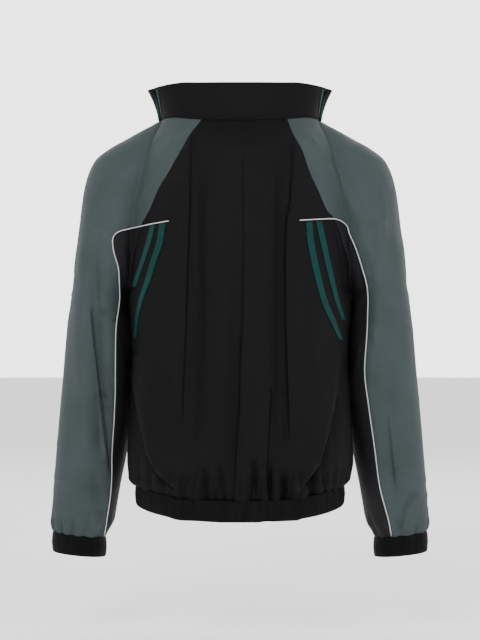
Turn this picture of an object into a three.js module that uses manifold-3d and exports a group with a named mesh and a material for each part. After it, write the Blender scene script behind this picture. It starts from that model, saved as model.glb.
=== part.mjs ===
// Track jacket, worn shape, hollow: raglan sleeves, stand collar, elastic hem and cuffs, front zip.
// Millimetres, +Z up. The back of the jacket faces -Y and its zip faces +Y.
// The origin is the middle of the neck, level with the collar seam at the sides.

import * as THREE from 'three';
import { mergeVertices } from 'three/addons/utils/BufferGeometryUtils.js';
import Module from 'manifold-3d';

const wasm = await Module();
wasm.setup();

// Driving sizes
const clothThickness = 2;
const bandThickness = 2.6;
const collarThickness = 2.4;
const seamGap = 0.3;
const trimLift = 0.6;
const trimThickness = 0.9;
const pipingWidth = 3;
const pipingHeight = 1.8;
const cornerLift = 1.4;
const armpitZ = -285;
const armpitY = 20;
const armpitRun = 7;
const sleeveClearance = 3.6;
const bandHeight = 32;
const hemSideZ = -582;
const hemBackDrop = 19;
const zipHalfWidth = 7;
const tapeWidth = 6.5;
const tapeThickness = 1;
const sliderZ = -232;
const hemGatherTopZ = -545;
const hemGatherSize = 3.2;
const hemBandLevel = -640;
const cuffSeamZ = -666;
const cuffGatherTopZ = -638;
const cuffGatherSize = 2.8;
const cuffLevel = -690;
const hemGatherCount = 38;
const cuffGatherCount = 11;
const torsoRoundness = 2.3;
const sleeveRoundness = 2;

// Tables: each has named columns and a row for each section or fold
function table(columns, rows) {
  return rows.map((row) => Object.fromEntries(columns.map((name, i) => [name, row[i]])));
}

// Body sections, from the neck to the hem; depths are from the middle plane to the cloth
const torsoSections = table(['z', 'halfWidth', 'back', 'front'], [
  [10, 120, 66, 62],
  [-10, 126, 75, 72],
  [-34, 137, 91, 86],
  [-60, 146, 107, 102],
  [-98, 156, 117, 113],
  [-150, 166, 125, 121],
  [-210, 174, 128, 123],
  [-285, 177, 126, 121],
  [-370, 172, 122, 119],
  [-450, 174.5, 121, 118],
  [-500, 178, 122, 120],
  [-545, 180, 126, 125],
  [-575, 174, 124, 122],
  [-594, 166, 118, 116],
  [-650, 165, 117, 115],
]);

// Sleeve sections: outer edge, inner edge, half depth, middle depth, and how softly it joins the body
const sleeveSections = table(['z', 'outer', 'inner', 'depth', 'middle', 'blend'], [
  [10, 112, 78, 4, 2, 20],
  [0, 124, 78, 10, 4, 24],
  [-11, 141, 76, 20, 5, 30],
  [-20, 159, 76, 27, 7, 36],
  [-34, 184, 80, 36, 10, 42],
  [-48, 210, 88, 46, 13, 46],
  [-67, 233, 98, 56, 16, 50],
  [-96, 246, 116, 66, 19, 50],
  [-128, 253, 130, 71, 20, 46],
  [-170, 258, 141, 72, 23, 36],
  [-220, 264, 152, 70, 25, 24],
  [-262, 268, 166, 66, 26, 14],
  [-285, 271, 178.2, 63, 27, 8],
  [-338, 278.5, 172, 60, 35, 6],
  [-370, 282, 169, 60, 39, 6],
  [-450, 290, 172, 58, 46, 6],
  [-533, 298, 184, 57, 53, 6],
  [-582, 302, 193.5, 55, 56, 6],
  [-648, 306, 206, 47, 60, 6],
  [-672, 304, 218, 38, 62, 6],
  [-710, 305.5, 222, 37, 63, 6],
]);

// Back seams from the neck to the armpit: raglan seam, then the armhole seam below the piping
const raglanSeams = {
  left: table(['z', 'x'], [
    [0, 58], [-9, 61], [-30, 76], [-59, 91], [-88, 108], [-122, 128], [-152, 142], [-175, 156],
    [-205, 166], [-235, 172], [-262, 174], [-285, 176.4],
  ]),
  right: table(['z', 'x'], [
    [0, 73], [-9, 75], [-30, 82], [-59, 96], [-88, 106], [-122, 122], [-152, 136], [-163, 147],
    [-205, 164], [-235, 172], [-262, 174], [-285, 176.4],
  ]),
  front: table(['z', 'x'], [
    [0, 118], [-9, 119], [-30, 122], [-59, 127], [-88, 132], [-122, 138], [-152, 145], [-175, 152],
    [-205, 158], [-235, 162], [-262, 165], [-285, 176.4],
  ]),
};

// Seams between the slate sleeve and the black under-sleeve, from the corner down to the cuff
const sleeveSeams = {
  left: table(['z', 'x'], [
    [-175, 156], [-182, 192], [-196, 201], [-212, 200], [-243, 192], [-282, 192], [-337, 198],
    [-432, 199], [-528, 204], [-600, 209], [-640, 214.5], [-690, 227],
  ]),
  right: table(['z', 'x'], [
    [-163, 147], [-182, 171], [-212, 183], [-243, 194], [-282, 204], [-337, 203], [-400, 199],
    [-460, 206], [-528, 216], [-588, 224], [-659, 243], [-690, 247],
  ]),
  front: table(['z', 'x'], [
    [-175, 152], [-186, 176], [-212, 190], [-243, 197], [-282, 204], [-337, 208], [-432, 212],
    [-528, 220], [-625, 230], [-690, 238],
  ]),
};

// Height of the neck edge, by distance along it from the middle of the back
const neckEdge = table(['along', 'z'], [[0, -10], [60, -8], [130, -2], [170, -4], [235, -12]]);

// Front edge of the open zip: half the opening at each height
const zipEdge = table(['z', 'x'], [
  [0, 104], [-12, 102], [-60, 90], [-110, 67], [-160, 40], [-205, 15], [-232, zipHalfWidth], [-700, zipHalfWidth],
]);

// Long folds: a line from top to bottom on one face, how wide it is and how far it stands out
const folds = table(['face', 'topX', 'topZ', 'endX', 'endZ', 'width', 'height'], [
  ['back', -77, -20, -88, -540, 13, 5],
  ['back', -66, -20, -74, -540, 12, -5],
  ['back', 69, -20, 62, -560, 12, -6],
  ['back', 80, -20, 76, -560, 12, 4],
  ['back', -2, -190, -9, -590, 10, -4],
  ['back', 12, -150, 8, -590, 14, 3],
  ['back', 43, -470, 42, -600, 8, -4],
  ['back', -236, -110, -221, -560, 13, -8],
  ['back', -252, -220, -248, -560, 16, 4],
  ['back', 224, -100, 216, -380, 10, 6],
  ['back', 238, -330, 244, -640, 15, -6],
  ['front', -60, -280, -52, -590, 14, -5],
  ['front', 52, -300, 64, -590, 14, -5],
  ['front', -112, -200, -118, -560, 16, 5],
  ['front', 118, -220, 110, -580, 16, 5],
  ['front', -242, -180, -232, -560, 14, -7],
  ['front', 240, -160, 236, -600, 14, -7],
]);

// Curved edges where the full back hangs over the sides, above the hem
const pouches = table(['face', 'side', 'reach', 'height'], [
  ['back', -1, 1, 7], ['back', 1, 0.8, 5], ['front', -1, 0.85, 5], ['front', 1, 0.9, 5],
]);
const pouchLine = table(['z', 'x'], [[-400, 176], [-470, 160], [-530, 146], [-560, 126], [-604, 92]]);

// Green tapes on the back: distance from the middle at each height
const backStripes = {
  left_inner: table(['z', 'x'], [[-182, 120.5], [-199, 123], [-229, 133], [-260, 143], [-291, 154], [-322, 161], [-350, 165]]),
  left_outer: table(['z', 'x'], [[-183, 137], [-199, 141], [-229, 151], [-250, 158], [-270, 164]]),
  right_inner: table(['z', 'x'], [[-172, 106.5], [-199, 108.5], [-229, 114], [-260, 121.5], [-291, 130], [-322, 143.5], [-353, 158]]),
  right_outer: table(['z', 'x'], [[-171, 122], [-199, 128], [-229, 135], [-260, 143], [-291, 151], [-322, 162]]),
};
const backStripeWidth = 10.5;

// Piping on the back panel, from its inner end to the corner of the armhole
const pipingStart = { left: { z: -169, x: 109 }, right: { z: -168.5, x: 90.5 } };

// Collar: how high and how far out its top edge is, by share of the way round from the back
const collarShape = table(['share', 'height', 'lean'], [[0, 59, -2], [0.35, 57, 0], [0.62, 51, 8], [0.8, 53, 19], [1, 55, 30]]);
const collarStripes = table(['name', 'share', 'shareTop'], [['inner', 0.70, 0.665], ['outer', 0.755, 0.735]]);
const collarStripeWidth = 3.4;

// Reads a column of a table at a height, along a smooth curve that never overshoots
function curve(rows, from, to) {
  const xs = rows.map((row) => row[from]);
  const ys = rows.map((row) => row[to]);
  if (xs[0] > xs[xs.length - 1]) {
    xs.reverse();
    ys.reverse();
  }
  const steps = xs.slice(1).map((x, i) => (ys[i + 1] - ys[i]) / (x - xs[i]));
  const slopes = xs.map((x, i) => {
    const before = steps[Math.max(i - 1, 0)];
    const after = steps[Math.min(i, steps.length - 1)];
    return before * after <= 0 ? 0 : (2 * before * after) / (before + after);
  });
  return (at) => {
    const x = Math.min(Math.max(at, xs[0]), xs[xs.length - 1]);
    let i = 0;
    while (i < xs.length - 2 && x > xs[i + 1]) i += 1;
    const width = xs[i + 1] - xs[i];
    const t = (x - xs[i]) / width;
    const rise = ys[i + 1] - ys[i];
    const bend = slopes[i] + slopes[i + 1] - (2 * rise) / width;
    const lead = (3 * rise) / width - 2 * slopes[i] - slopes[i + 1];
    return ys[i] + t * width * (slopes[i] + t * (lead + t * bend));
  };
}

const torso = Object.fromEntries(['halfWidth', 'back', 'front'].map((c) => [c, curve(torsoSections, 'z', c)]));
const arm = Object.fromEntries(
  ['outer', 'inner', 'depth', 'middle', 'blend'].map((c) => [c, curve(sleeveSections, 'z', c)]),
);
const raglanX = Object.fromEntries(Object.entries(raglanSeams).map(([k, rows]) => [k, curve(rows, 'z', 'x')]));
const sleeveX = Object.fromEntries(Object.entries(sleeveSeams).map(([k, rows]) => [k, curve(rows, 'z', 'x')]));
const zipX = curve(zipEdge, 'z', 'x');
const pouchX = curve(pouchLine, 'z', 'x');
const sides = { left: -1, right: 1 };

function smoothStep(low, high, value) {
  const t = Math.min(Math.max((value - low) / (high - low), 0), 1);
  return t * t * (3 - 2 * t);
}

function softMax(a, b, blend) {
  const overlap = Math.max(blend - Math.abs(a - b), 0);
  return Math.max(a, b) + (overlap * overlap) / (4 * blend);
}

// Depth of a rounded section at a place across it, running on below zero past its edge
function sectionDepth(place, depth, roundness) {
  const rest = 1 - Math.abs(place) ** roundness;
  return Math.sign(rest) * depth * Math.abs(rest) ** (1 / roundness);
}

// How far the folds lift the cloth at a place on the back or the front
function foldHeight(face, x, z) {
  let height = 0;
  for (const fold of folds) {
    if (fold.face !== face) continue;
    const share = (fold.topZ - z) / (fold.topZ - fold.endZ);
    if (share < 0 || share > 1) continue;
    const across = (x - (fold.topX + (fold.endX - fold.topX) * share)) / fold.width;
    height += fold.height * Math.exp(-across * across) * smoothStep(0, 0.3, share) * smoothStep(1, 0.88, share);
  }
  for (const pouch of pouches) {
    if (pouch.face !== face || x * pouch.side < 60) continue;
    const beyond = Math.abs(x) - pouchX(z) * pouch.reach;
    const fade = smoothStep(-390, -450, z) * smoothStep(-603, -590, z) * smoothStep(60, 100, Math.abs(x));
    height += pouch.height * smoothStep(5, -7, beyond) * smoothStep(-70, -10, beyond) * fade;
  }
  return height;
}

// One face of the whole jacket at a height, above the armpits: body and sleeves softly joined
function joinedDepth(face, x, z) {
  const sign = face === 'back' ? -1 : 1;
  const place = Math.abs(x);
  const middle = (arm.outer(z) + arm.inner(z)) / 2;
  const half = (arm.outer(z) - arm.inner(z)) / 2;
  const body = sectionDepth(place / torso.halfWidth(z), torso[face](z), torsoRoundness);
  const sleeve = sectionDepth((place - middle) / half, arm.depth(z), sleeveRoundness) + sign * arm.middle(z);
  return sign * softMax(body, sleeve, arm.blend(z));
}

// Outlines: points round a level section, with the distance walked to each
const outlineSteps = 120;

function walk(points) {
  const walked = [0];
  for (let i = 1; i < points.length; i += 1) {
    const [a, b] = [points[i - 1], points[i]];
    walked.push(walked[i - 1] + Math.hypot(b.x - a.x, b.y - a.y));
  }
  return { points, walked, length: walked[walked.length - 1] };
}

function liftByFolds(points, z, sign) {
  return points.map((point, i) => {
    const before = points[Math.max(i - 1, 0)];
    const after = points[Math.min(i + 1, points.length - 1)];
    const run = Math.hypot(after.x - before.x, after.y - before.y) || 1;
    const height = (foldHeight(point.face, point.x, z) * sign) / run;
    return { ...point, x: point.x + (after.y - before.y) * height, y: point.y - (after.x - before.x) * height };
  });
}

function remember(make) {
  const made = new Map();
  return (side, z) => {
    const key = `${side} ${z.toFixed(4)}`;
    if (!made.has(key)) made.set(key, make(side, z));
    return made.get(key);
  };
}

// Half the jacket at one level, from the middle of the back round the side to the middle of the front
const halfOutline = remember((side, z) => {
  const sign = sides[side];
  const joined = z > armpitZ;
  const width = joined ? arm.outer(z) : torso.halfWidth(z);
  const points = [];
  for (const face of ['back', 'front']) {
    const flip = face === 'back' ? -1 : 1;
    for (let i = 0; i <= outlineSteps; i += 1) {
      const angle = ((face === 'back' ? i : outlineSteps - i) / outlineSteps) * (Math.PI / 2);
      const x = sign * width * Math.sin(angle);
      const alone = flip * sectionDepth(Math.sin(angle), torso[face](z), torsoRoundness);
      points.push({ x, y: joined ? joinedDepth(face, x, z) : alone, face });
    }
  }
  return walk(liftByFolds(points, z, sign));
});

// How far out the side of the body is at a depth, so a sleeve that hangs beside it stays clear
function bodySide(y, z) {
  const depth = y < 0 ? torso.back(z) : torso.front(z);
  return sectionDepth(y / depth, torso.halfWidth(z), torsoRoundness);
}

// One sleeve at a level below the armpit, from its inner side round the back to the outer side and the front
const sleeveOutline = remember((side, z) => {
  const sign = sides[side];
  const middle = (arm.outer(z) + arm.inner(z)) / 2;
  const half = (arm.outer(z) - arm.inner(z)) / 2;
  const points = [];
  for (let i = 0; i <= outlineSteps * 2; i += 1) {
    const angle = (i / outlineSteps) * Math.PI;
    const y = arm.middle(z) - arm.depth(z) * Math.sin(angle);
    const place = softMax(middle - half * Math.cos(angle), bodySide(y, z) + sleeveClearance, 3);
    points.push({ x: sign * place, y, face: i < outlineSteps ? 'back' : 'front' });
  }
  const outline = walk(liftByFolds(points, z, sign));
  return { ...outline, closed: true };
});

function placeAt(outline, distance) {
  const { points, walked, length, closed } = outline;
  const at = closed ? ((distance % length) + length) % length : Math.min(Math.max(distance, 0), length);
  let low = 0;
  let high = walked.length - 1;
  while (high - low > 1) {
    const mid = (low + high) >> 1;
    if (walked[mid] > at) high = mid;
    else low = mid;
  }
  const t = (at - walked[low]) / (walked[high] - walked[low] || 1);
  return {
    x: points[low].x + (points[high].x - points[low].x) * t,
    y: points[low].y + (points[high].y - points[low].y) * t,
  };
}

// Uneven soft waves of the gathered cloth, by distance along the seam
function gatherWave(distance, pitch, seed) {
  const drift = 0.22 * Math.sin(distance / (pitch * 1.7) + seed) + 0.13 * Math.sin(distance / (pitch * 0.9) + 2 * seed);
  const size = 0.72 + 0.28 * Math.sin(distance / (pitch * 2.3) + 3 * seed);
  return size * Math.cos(2 * Math.PI * (distance / pitch + drift));
}

// How deep the gathers are, by share of the way down from their top to the seam
const gatherDepth = curve(table(['share', 'depth'], [[0, 0], [0.3, 0.35], [0.65, 1], [0.85, 0.9], [1, 0.45]]), 'share', 'depth');

const hemLength = 2 * halfOutline('left', hemSideZ).length;
const hemPitch = hemLength / hemGatherCount;

function hemSwell(side, z, distance) {
  const share = (hemGatherTopZ - z) / (hemGatherTopZ - hemSideZ + 10);
  if (share <= 0) return 0;
  return hemGatherSize * gatherDepth(Math.min(share, 1)) * gatherWave(sides[side] * distance, hemPitch, 2);
}

function cuffSwell(side, z, distance) {
  const share = (cuffGatherTopZ - z) / (cuffGatherTopZ - cuffSeamZ + 2);
  if (share <= 0) return 0;
  const length = sleeveOutline(side, z).length;
  const pitch = length / cuffGatherCount;
  const wrapped = ((distance % length) + length) % length;
  const join = smoothStep(0, pitch / 2, wrapped) * smoothStep(length, length - pitch / 2, wrapped);
  return cuffGatherSize * gatherDepth(Math.min(share, 1)) * gatherWave(wrapped, pitch, sides[side] + 5) * join;
}

// A point of the cloth at a level and a distance along its outline, with the way it faces
const tangentReach = 2;
const slopeReach = 3;

function clothPoint(outlineOf, swellOf, side, z, distance) {
  const sign = sides[side];
  const outline = outlineOf(side, z);
  const flat = placeAt(outline, distance);
  const before = placeAt(outline, distance - tangentReach);
  const after = placeAt(outline, distance + tangentReach);
  const atMiddle = !outline.closed && distance < 0.01;
  const run = Math.hypot(after.x - before.x, after.y - before.y) || 1;
  const nx = atMiddle ? 0 : (sign * (after.y - before.y)) / run;
  const ny = atMiddle ? -1 : (-sign * (after.x - before.x)) / run;
  const below = z > armpitZ ? Math.max(z - slopeReach, armpitZ + 0.01) : z - slopeReach;
  const above = z > armpitZ ? z + slopeReach : Math.min(z + slopeReach, armpitZ);
  const low = outlineOf(side, below);
  const high = outlineOf(side, above);
  const lowPoint = placeAt(low, (distance * low.length) / outline.length);
  const highPoint = placeAt(high, (distance * high.length) / outline.length);
  const spread = ((lowPoint.x - highPoint.x) * nx + (lowPoint.y - highPoint.y) * ny) / (above - below);
  const swell = swellOf(side, z, distance);
  return {
    x: atMiddle ? 0 : flat.x + nx * swell,
    y: flat.y + ny * swell,
    z,
    normal: new THREE.Vector3(nx, ny, spread).normalize(),
  };
}
const bodyPoint = (side, z, distance) => clothPoint(halfOutline, hemSwell, side, z, distance);
const sleevePoint = (side, z, distance) => clothPoint(sleeveOutline, cuffSwell, side, z, distance);

// Distance along an outline to the place where it passes a given x on the back or the front, or comes nearest
function distanceTo(outline, face, x) {
  const { points, walked } = outline;
  const wanted = Math.abs(x);
  const miss = (point) => Math.abs(Math.abs(point.x) - wanted);
  let nearest = face === 'back' ? 0 : outlineSteps + 1;
  for (let i = 0; i < points.length - 1; i += 1) {
    const [a, b] = [points[i], points[i + 1]];
    if (a.face !== face || b.face !== face) continue;
    const [from, to] = [Math.abs(a.x), Math.abs(b.x)];
    if ((from - wanted) * (to - wanted) <= 0 && from !== to) {
      return walked[i] + ((walked[i + 1] - walked[i]) * (wanted - from)) / (to - from);
    }
    if (miss(b) < miss(points[nearest])) nearest = i + 1;
  }
  return walked[nearest];
}

function distanceToSide(side, z) {
  const { points, walked } = halfOutline(side, z);
  const i = points.findIndex((point) => point.y > armpitY);
  return walked[i - 1] + ((walked[i] - walked[i - 1]) * (armpitY - points[i - 1].y)) / (points[i].y - points[i - 1].y);
}

// Seams as distances along the outlines
const seams = {
  middle: () => 0,
  raglan: (side, z) => distanceTo(halfOutline(side, z), 'back', raglanX[side](z)),
  raglanFront: (side, z) => distanceTo(halfOutline(side, z), 'front', raglanX.front(z)),
  side: distanceToSide,
  zip: (side, z) => distanceTo(halfOutline(side, z), 'front', zipX(z)),
  piping: (side, z) => distanceTo(halfOutline(side, z), 'back', sleeveX[side](z)),
  pipingFront: (side, z) => distanceTo(halfOutline(side, z), 'front', sleeveX.front(z)),
  pipingBelow: (side, z) => distanceTo(sleeveOutline(side, z), 'back', sleeveX[side](z)),
  pipingFrontBelow: (side, z) => distanceTo(sleeveOutline(side, z), 'front', sleeveX.front(z)),
};

// A seam edge moved back along the outline, further where the seam runs across
const halfGap = seamGap / 2;
const back = (seam, amount = halfGap) => (side, z) => {
  const slope = Math.min(Math.abs(seam(side, z + 2) - seam(side, z - 2)) / 4, 3);
  return seam(side, z) - amount * Math.hypot(1, slope);
};
const forth = (seam, amount = halfGap) => back(seam, -amount);

// Heights of the rows: near the neck they follow the neck edge, and near the bands the gathers
const neckShares = [0, 0.14, 0.3, 0.48, 0.7, 1];
const neckRowsEndZ = -59;
const neckLevel = -6;
const openRows = [-80, -103, -128, -150];
const cornerZ = { left: -175, right: -163, front: -175 };
const armRows = [-183, -200, -222, -244, -264];
const bodyRows = [armpitZ, -322, -362, -405, -450, -490, -522];
const gatherShares = [0, 0.36, 0.7, 1];
const sleeveRows = [armpitZ, -315, -352, -395, -440, -485, -530, -572, -608];
const cuffGatherShares = [0, 0.45, 0.8, 1];

const steps = (count) => Array.from({ length: count + 1 }, (_, i) => i / count);
const lerp = (a, b, t) => a + (b - a) * t;

const neckAlong = curve(neckEdge, 'along', 'z');
function neckZ(side, from, to, share) {
  return neckAlong(lerp(from(side, neckLevel), to(side, neckLevel), share));
}

// The seams above the bands: the hem dips at the back and the front, and the cuffs tilt inwards
function hemZ(side, share) {
  const outline = halfOutline(side, hemSideZ);
  return hemSideZ - hemBackDrop * Math.min(1, (placeAt(outline, outline.length * share).y / 116) ** 2);
}
const cuffZ = (x) => cuffSeamZ - (306 - Math.abs(x)) * 0.1;

// A wall round a skin of points, closed along every edge
class Skin {
  constructor() {
    this.points = [];
    this.faces = [];
    this.index = new Map();
  }

  point(p) {
    const key = [p.x, p.y, p.z].map((value) => value.toFixed(3)).join(' ');
    if (!this.index.has(key)) {
      this.index.set(key, this.points.length);
      this.points.push(p);
    }
    return this.index.get(key);
  }

  triangle(a, b, c) {
    if (a !== b && b !== c && c !== a) this.faces.push([a, b, c]);
  }

  // Joins two rows of points, which may hold different numbers of points
  bridge(rowA, rowB, flip) {
    const a = rowA.map((p) => this.point(p));
    const b = rowB.map((p) => this.point(p));
    let i = 0;
    let j = 0;
    while (i < a.length - 1 || j < b.length - 1) {
      const nextA = i < a.length - 1 ? (i + 0.999) / (a.length - 1) : 2;
      const nextB = j < b.length - 1 ? (j + 1) / (b.length - 1) : 2;
      const third = nextA <= nextB ? a[i + 1] : b[j + 1];
      if (flip) this.triangle(a[i], third, b[j]);
      else this.triangle(a[i], b[j], third);
      if (nextA <= nextB) i += 1;
      else j += 1;
    }
  }

  rows(list, flip) {
    for (let i = 1; i < list.length; i += 1) this.bridge(list[i - 1], list[i], flip);
    return this;
  }

  // outside and inside are how far the two faces of the wall lie from the skin
  solid(outside, inside) {
    const count = this.points.length;
    const positions = [];
    for (const offset of [outside, inside]) {
      for (const p of this.points) {
        positions.push(p.x + p.normal.x * offset, p.y + p.normal.y * offset, p.z + p.normal.z * offset);
      }
    }
    const faces = [];
    const edges = new Map();
    for (const [a, b, c] of this.faces) {
      faces.push(a, b, c, a + count, c + count, b + count);
      for (const [from, to] of [[a, b], [b, c], [c, a]]) {
        if (edges.has(`${to} ${from}`)) edges.delete(`${to} ${from}`);
        else edges.set(`${from} ${to}`, [from, to]);
      }
    }
    for (const [from, to] of edges.values()) faces.push(to, from, from + count, to, from + count, to + count);
    return geometryOf(positions, faces);
  }

  wall(thickness) {
    return this.solid(thickness / 2, -thickness / 2);
  }
}

function geometryOf(positions, faces) {
  const geometry = new THREE.BufferGeometry();
  geometry.setAttribute('position', new THREE.Float32BufferAttribute(positions, 3));
  geometry.setIndex(faces);
  geometry.computeVertexNormals();
  return geometry;
}

// A cut edge is square to the row, so the wall there is set off sideways only
function level(point, z = point.z) {
  return { ...point, z, normal: point.normal.clone().setZ(0).normalize() };
}

// A row of cloth between two seams, at one height or at a height that changes along it
function clothRow(pointAt, side, count, zAt, from, to) {
  return steps(count).map((share) => {
    const z = zAt(share);
    return pointAt(side, z, lerp(from(side, z), to(side, z), share));
  });
}

function neckRows(side, count, edges, neck) {
  return neckShares.map((share) => {
    const zAt = (across) => lerp(neckZ(side, neck[0], neck[1], across) - halfGap, neckRowsEndZ, share);
    const row = clothRow(bodyPoint, side, count, zAt, ...edges);
    return share === 0 ? row.map((point) => level(point)) : row;
  });
}

function hemRows(side, counts, edges) {
  return gatherShares.map((share, i) => {
    const count = [counts.body, Math.round((counts.body + counts.hem) / 2), counts.hem, counts.hem][i];
    const zAt = (across) => {
      const distance = lerp(edges[0](side, hemSideZ), edges[1](side, hemSideZ), across);
      return lerp(hemGatherTopZ, hemZ(side, distance / halfOutline(side, hemSideZ).length) + seamGap, share);
    };
    const row = clothRow(bodyPoint, side, count, zAt, ...edges);
    return share === 1 ? row.map((point) => level(point)) : row;
  });
}

// Rows of one half of a body panel between two seams, from the neck to the hem
function bodyHalf(side, counts, top, below, neck) {
  const rowAt = (edges) => (z) => clothRow(bodyPoint, side, counts.body, () => z, ...edges);
  return [
    ...neckRows(side, counts.body, top, neck),
    ...[...openRows, cornerZ[side], ...armRows].map(rowAt(top)),
    ...bodyRows.map(rowAt(below)),
    ...hemRows(side, counts, below),
  ];
}

function backPanel() {
  const skin = new Skin();
  for (const side of ['left', 'right']) {
    const rows = bodyHalf(
      side,
      { body: 12, hem: 36 },
      [seams.middle, back(seams.raglan)],
      [seams.middle, back(seams.side)],
      [seams.middle, seams.raglan],
    );
    skin.rows(rows, side === 'left');
  }
  return skin;
}

function frontPanel(side) {
  const zipSide = back(seams.zip, seamGap);
  const rows = bodyHalf(
    side,
    { body: 10, hem: 33 },
    [forth(seams.raglanFront), zipSide],
    [forth(seams.side), zipSide],
    [seams.raglanFront, seams.zip],
  );
  return new Skin().rows(rows, side === 'left');
}

// Rows round a sleeve below the armpit, down to the cuff
function lowerSleeve(side, counts, from, to) {
  const list = sleeveRows.map((z) => clothRow(sleevePoint, side, counts.body, () => z, from, to));
  cuffGatherShares.forEach((share, i) => {
    const zAt = (across) => {
      const distance = lerp(from(side, cuffSeamZ), to(side, cuffSeamZ), across);
      return lerp(cuffGatherTopZ, cuffZ(placeAt(sleeveOutline(side, cuffSeamZ), distance).x), share);
    };
    const row = clothRow(sleevePoint, side, i === 0 ? counts.body : counts.cuff, zAt, from, to);
    list.push(share === 1 ? row.map((point) => level(point, cuffZ(point.x) + halfGap)) : row);
  });
  return list;
}

function upperSleeve(side) {
  const count = 14;
  const top = [forth(seams.raglan), back(seams.raglanFront)];
  const middle = [forth(seams.piping), back(seams.pipingFront)];
  const rowAt = (edges) => (z) => clothRow(bodyPoint, side, count, () => z, ...edges);
  const rows = [
    ...neckRows(side, count, top, [seams.raglan, seams.raglanFront]),
    ...[...openRows, cornerZ[side]].map(rowAt(top)),
    ...armRows.map(rowAt(middle)),
    ...lowerSleeve(side, { body: count, cuff: 28 }, forth(seams.pipingBelow), back(seams.pipingFrontBelow)),
  ];
  return new Skin().rows(rows, side === 'left');
}

// The black under-sleeve: two points at the corners of the armhole, which widen down to the armpit
function underSleeve(side) {
  const skin = new Skin();
  const half = 5;
  const flip = side === 'left';
  const armpit = (s, z) => sleeveOutline(s, z).length + armpitRun;
  const wrapTo = (s, z) => sleeveOutline(s, z).length + back(seams.pipingBelow)(s, z);
  const front = lowerSleeve(side, { body: half, cuff: 10 }, forth(seams.pipingFrontBelow), armpit);
  const rear = lowerSleeve(side, { body: half, cuff: 10 }, armpit, wrapTo);
  const whole = front.map((row, i) => [...row, ...rear[i].slice(1)]);
  const strips = [
    [forth(seams.raglan), back(seams.piping, seamGap * 3.5), cornerZ[side], rear[0]],
    [forth(seams.pipingFront), back(seams.raglanFront, seamGap * 2), cornerZ.front, front[0]],
  ];
  for (const [from, to, corner, last] of strips) {
    const tip = (s, z) => (from(s, z) + to(s, z)) / 2;
    const rows = [clothRow(bodyPoint, side, 1, () => corner - 1, tip, tip).slice(0, 1)];
    for (const z of armRows) rows.push(clothRow(bodyPoint, side, Math.min(rows.length + 1, half), () => z, from, to));
    skin.rows([...rows, last], flip);
  }
  return skin.rows(whole, flip);
}

// Bands: a plain ring of cloth below the gathers, slightly full in the middle
const bandShares = [0, 0.5, 1];

function bandPoint(side, distance, share) {
  const flat = clothPoint(halfOutline, () => 0, side, hemBandLevel, distance);
  const bulge = 1.2 * Math.sin(Math.PI * share);
  const z = hemZ(side, distance / halfOutline(side, hemBandLevel).length) - halfGap - bandHeight * share;
  return level({ ...flat, x: flat.x + flat.normal.x * bulge, y: flat.y + flat.normal.y * bulge }, z);
}

function hemBand() {
  const skin = new Skin();
  for (const side of ['left', 'right']) {
    const end = back(seams.zip, seamGap)(side, hemBandLevel);
    skin.rows(bandShares.map((share) => steps(40).map((across) => bandPoint(side, end * across, share))), side === 'left');
  }
  return skin;
}

function cuff(side) {
  const rows = bandShares.map((share) => {
    const points = steps(24).slice(0, -1).map((across) => {
      const flat = clothPoint(sleeveOutline, () => 0, side, cuffLevel, sleeveOutline(side, cuffLevel).length * across);
      const bulge = 0.8 * Math.sin(Math.PI * share);
      const z = cuffZ(flat.x) - halfGap - bandHeight * share;
      return level({ ...flat, x: flat.x + flat.normal.x * bulge, y: flat.y + flat.normal.y * bulge }, z);
    });
    return [...points, points[0]];
  });
  return new Skin().rows(rows, side === 'left');
}

// The collar stands on the neck edge and leans out towards its front ends
const collarHeight = curve(collarShape, 'share', 'height');
const collarLean = curve(collarShape, 'share', 'lean');

function collarPoint(side, share, up) {
  const z = neckAlong(seams.zip(side, neckLevel) * share);
  const foot = level(bodyPoint(side, z, seams.zip(side, z) * share));
  const leanAll = collarLean(Math.min(share, 1));
  const lean = leanAll * (0.35 * up + 0.65 * up * up);
  const rise = Math.sqrt(collarHeight(Math.min(share, 1)) ** 2 - leanAll ** 2) * up;
  const tilt = (leanAll * (0.35 + 1.3 * up)) / collarHeight(Math.min(share, 1));
  return {
    x: foot.x + foot.normal.x * lean,
    y: foot.y + foot.normal.y * lean,
    z: z + seamGap + rise,
    normal: up === 0 ? foot.normal : foot.normal.clone().setZ(-tilt).normalize(),
  };
}

function collar() {
  const skin = new Skin();
  for (const side of ['left', 'right']) {
    skin.rows(steps(4).map((t) => steps(18).map((share) => collarPoint(side, share, 1 - t))), side === 'left');
  }
  return skin;
}

// Trims that lie on the cloth, made from its points
function backStripe(name) {
  const side = name.startsWith('left') ? 'left' : 'right';
  const rows = backStripes[name];
  const xAt = curve(rows, 'z', 'x');
  const list = steps(10).map((share) => {
    const z = lerp(rows[0].z, rows[rows.length - 1].z, share);
    const middle = distanceTo(halfOutline(side, z), 'back', xAt(z));
    const slope = (xAt(z - 3) - xAt(z + 3)) / 6;
    const half = (backStripeWidth / 2) * Math.hypot(1, slope);
    const limit = back(z > armpitZ ? seams.raglan : seams.side)(side, z) - 2;
    return [middle - half, middle, middle + half].map((at) => bodyPoint(side, z, Math.min(at, limit)));
  });
  return new Skin().rows(list, side === 'left');
}

const neckLength = seams.zip('left', neckLevel);

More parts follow.
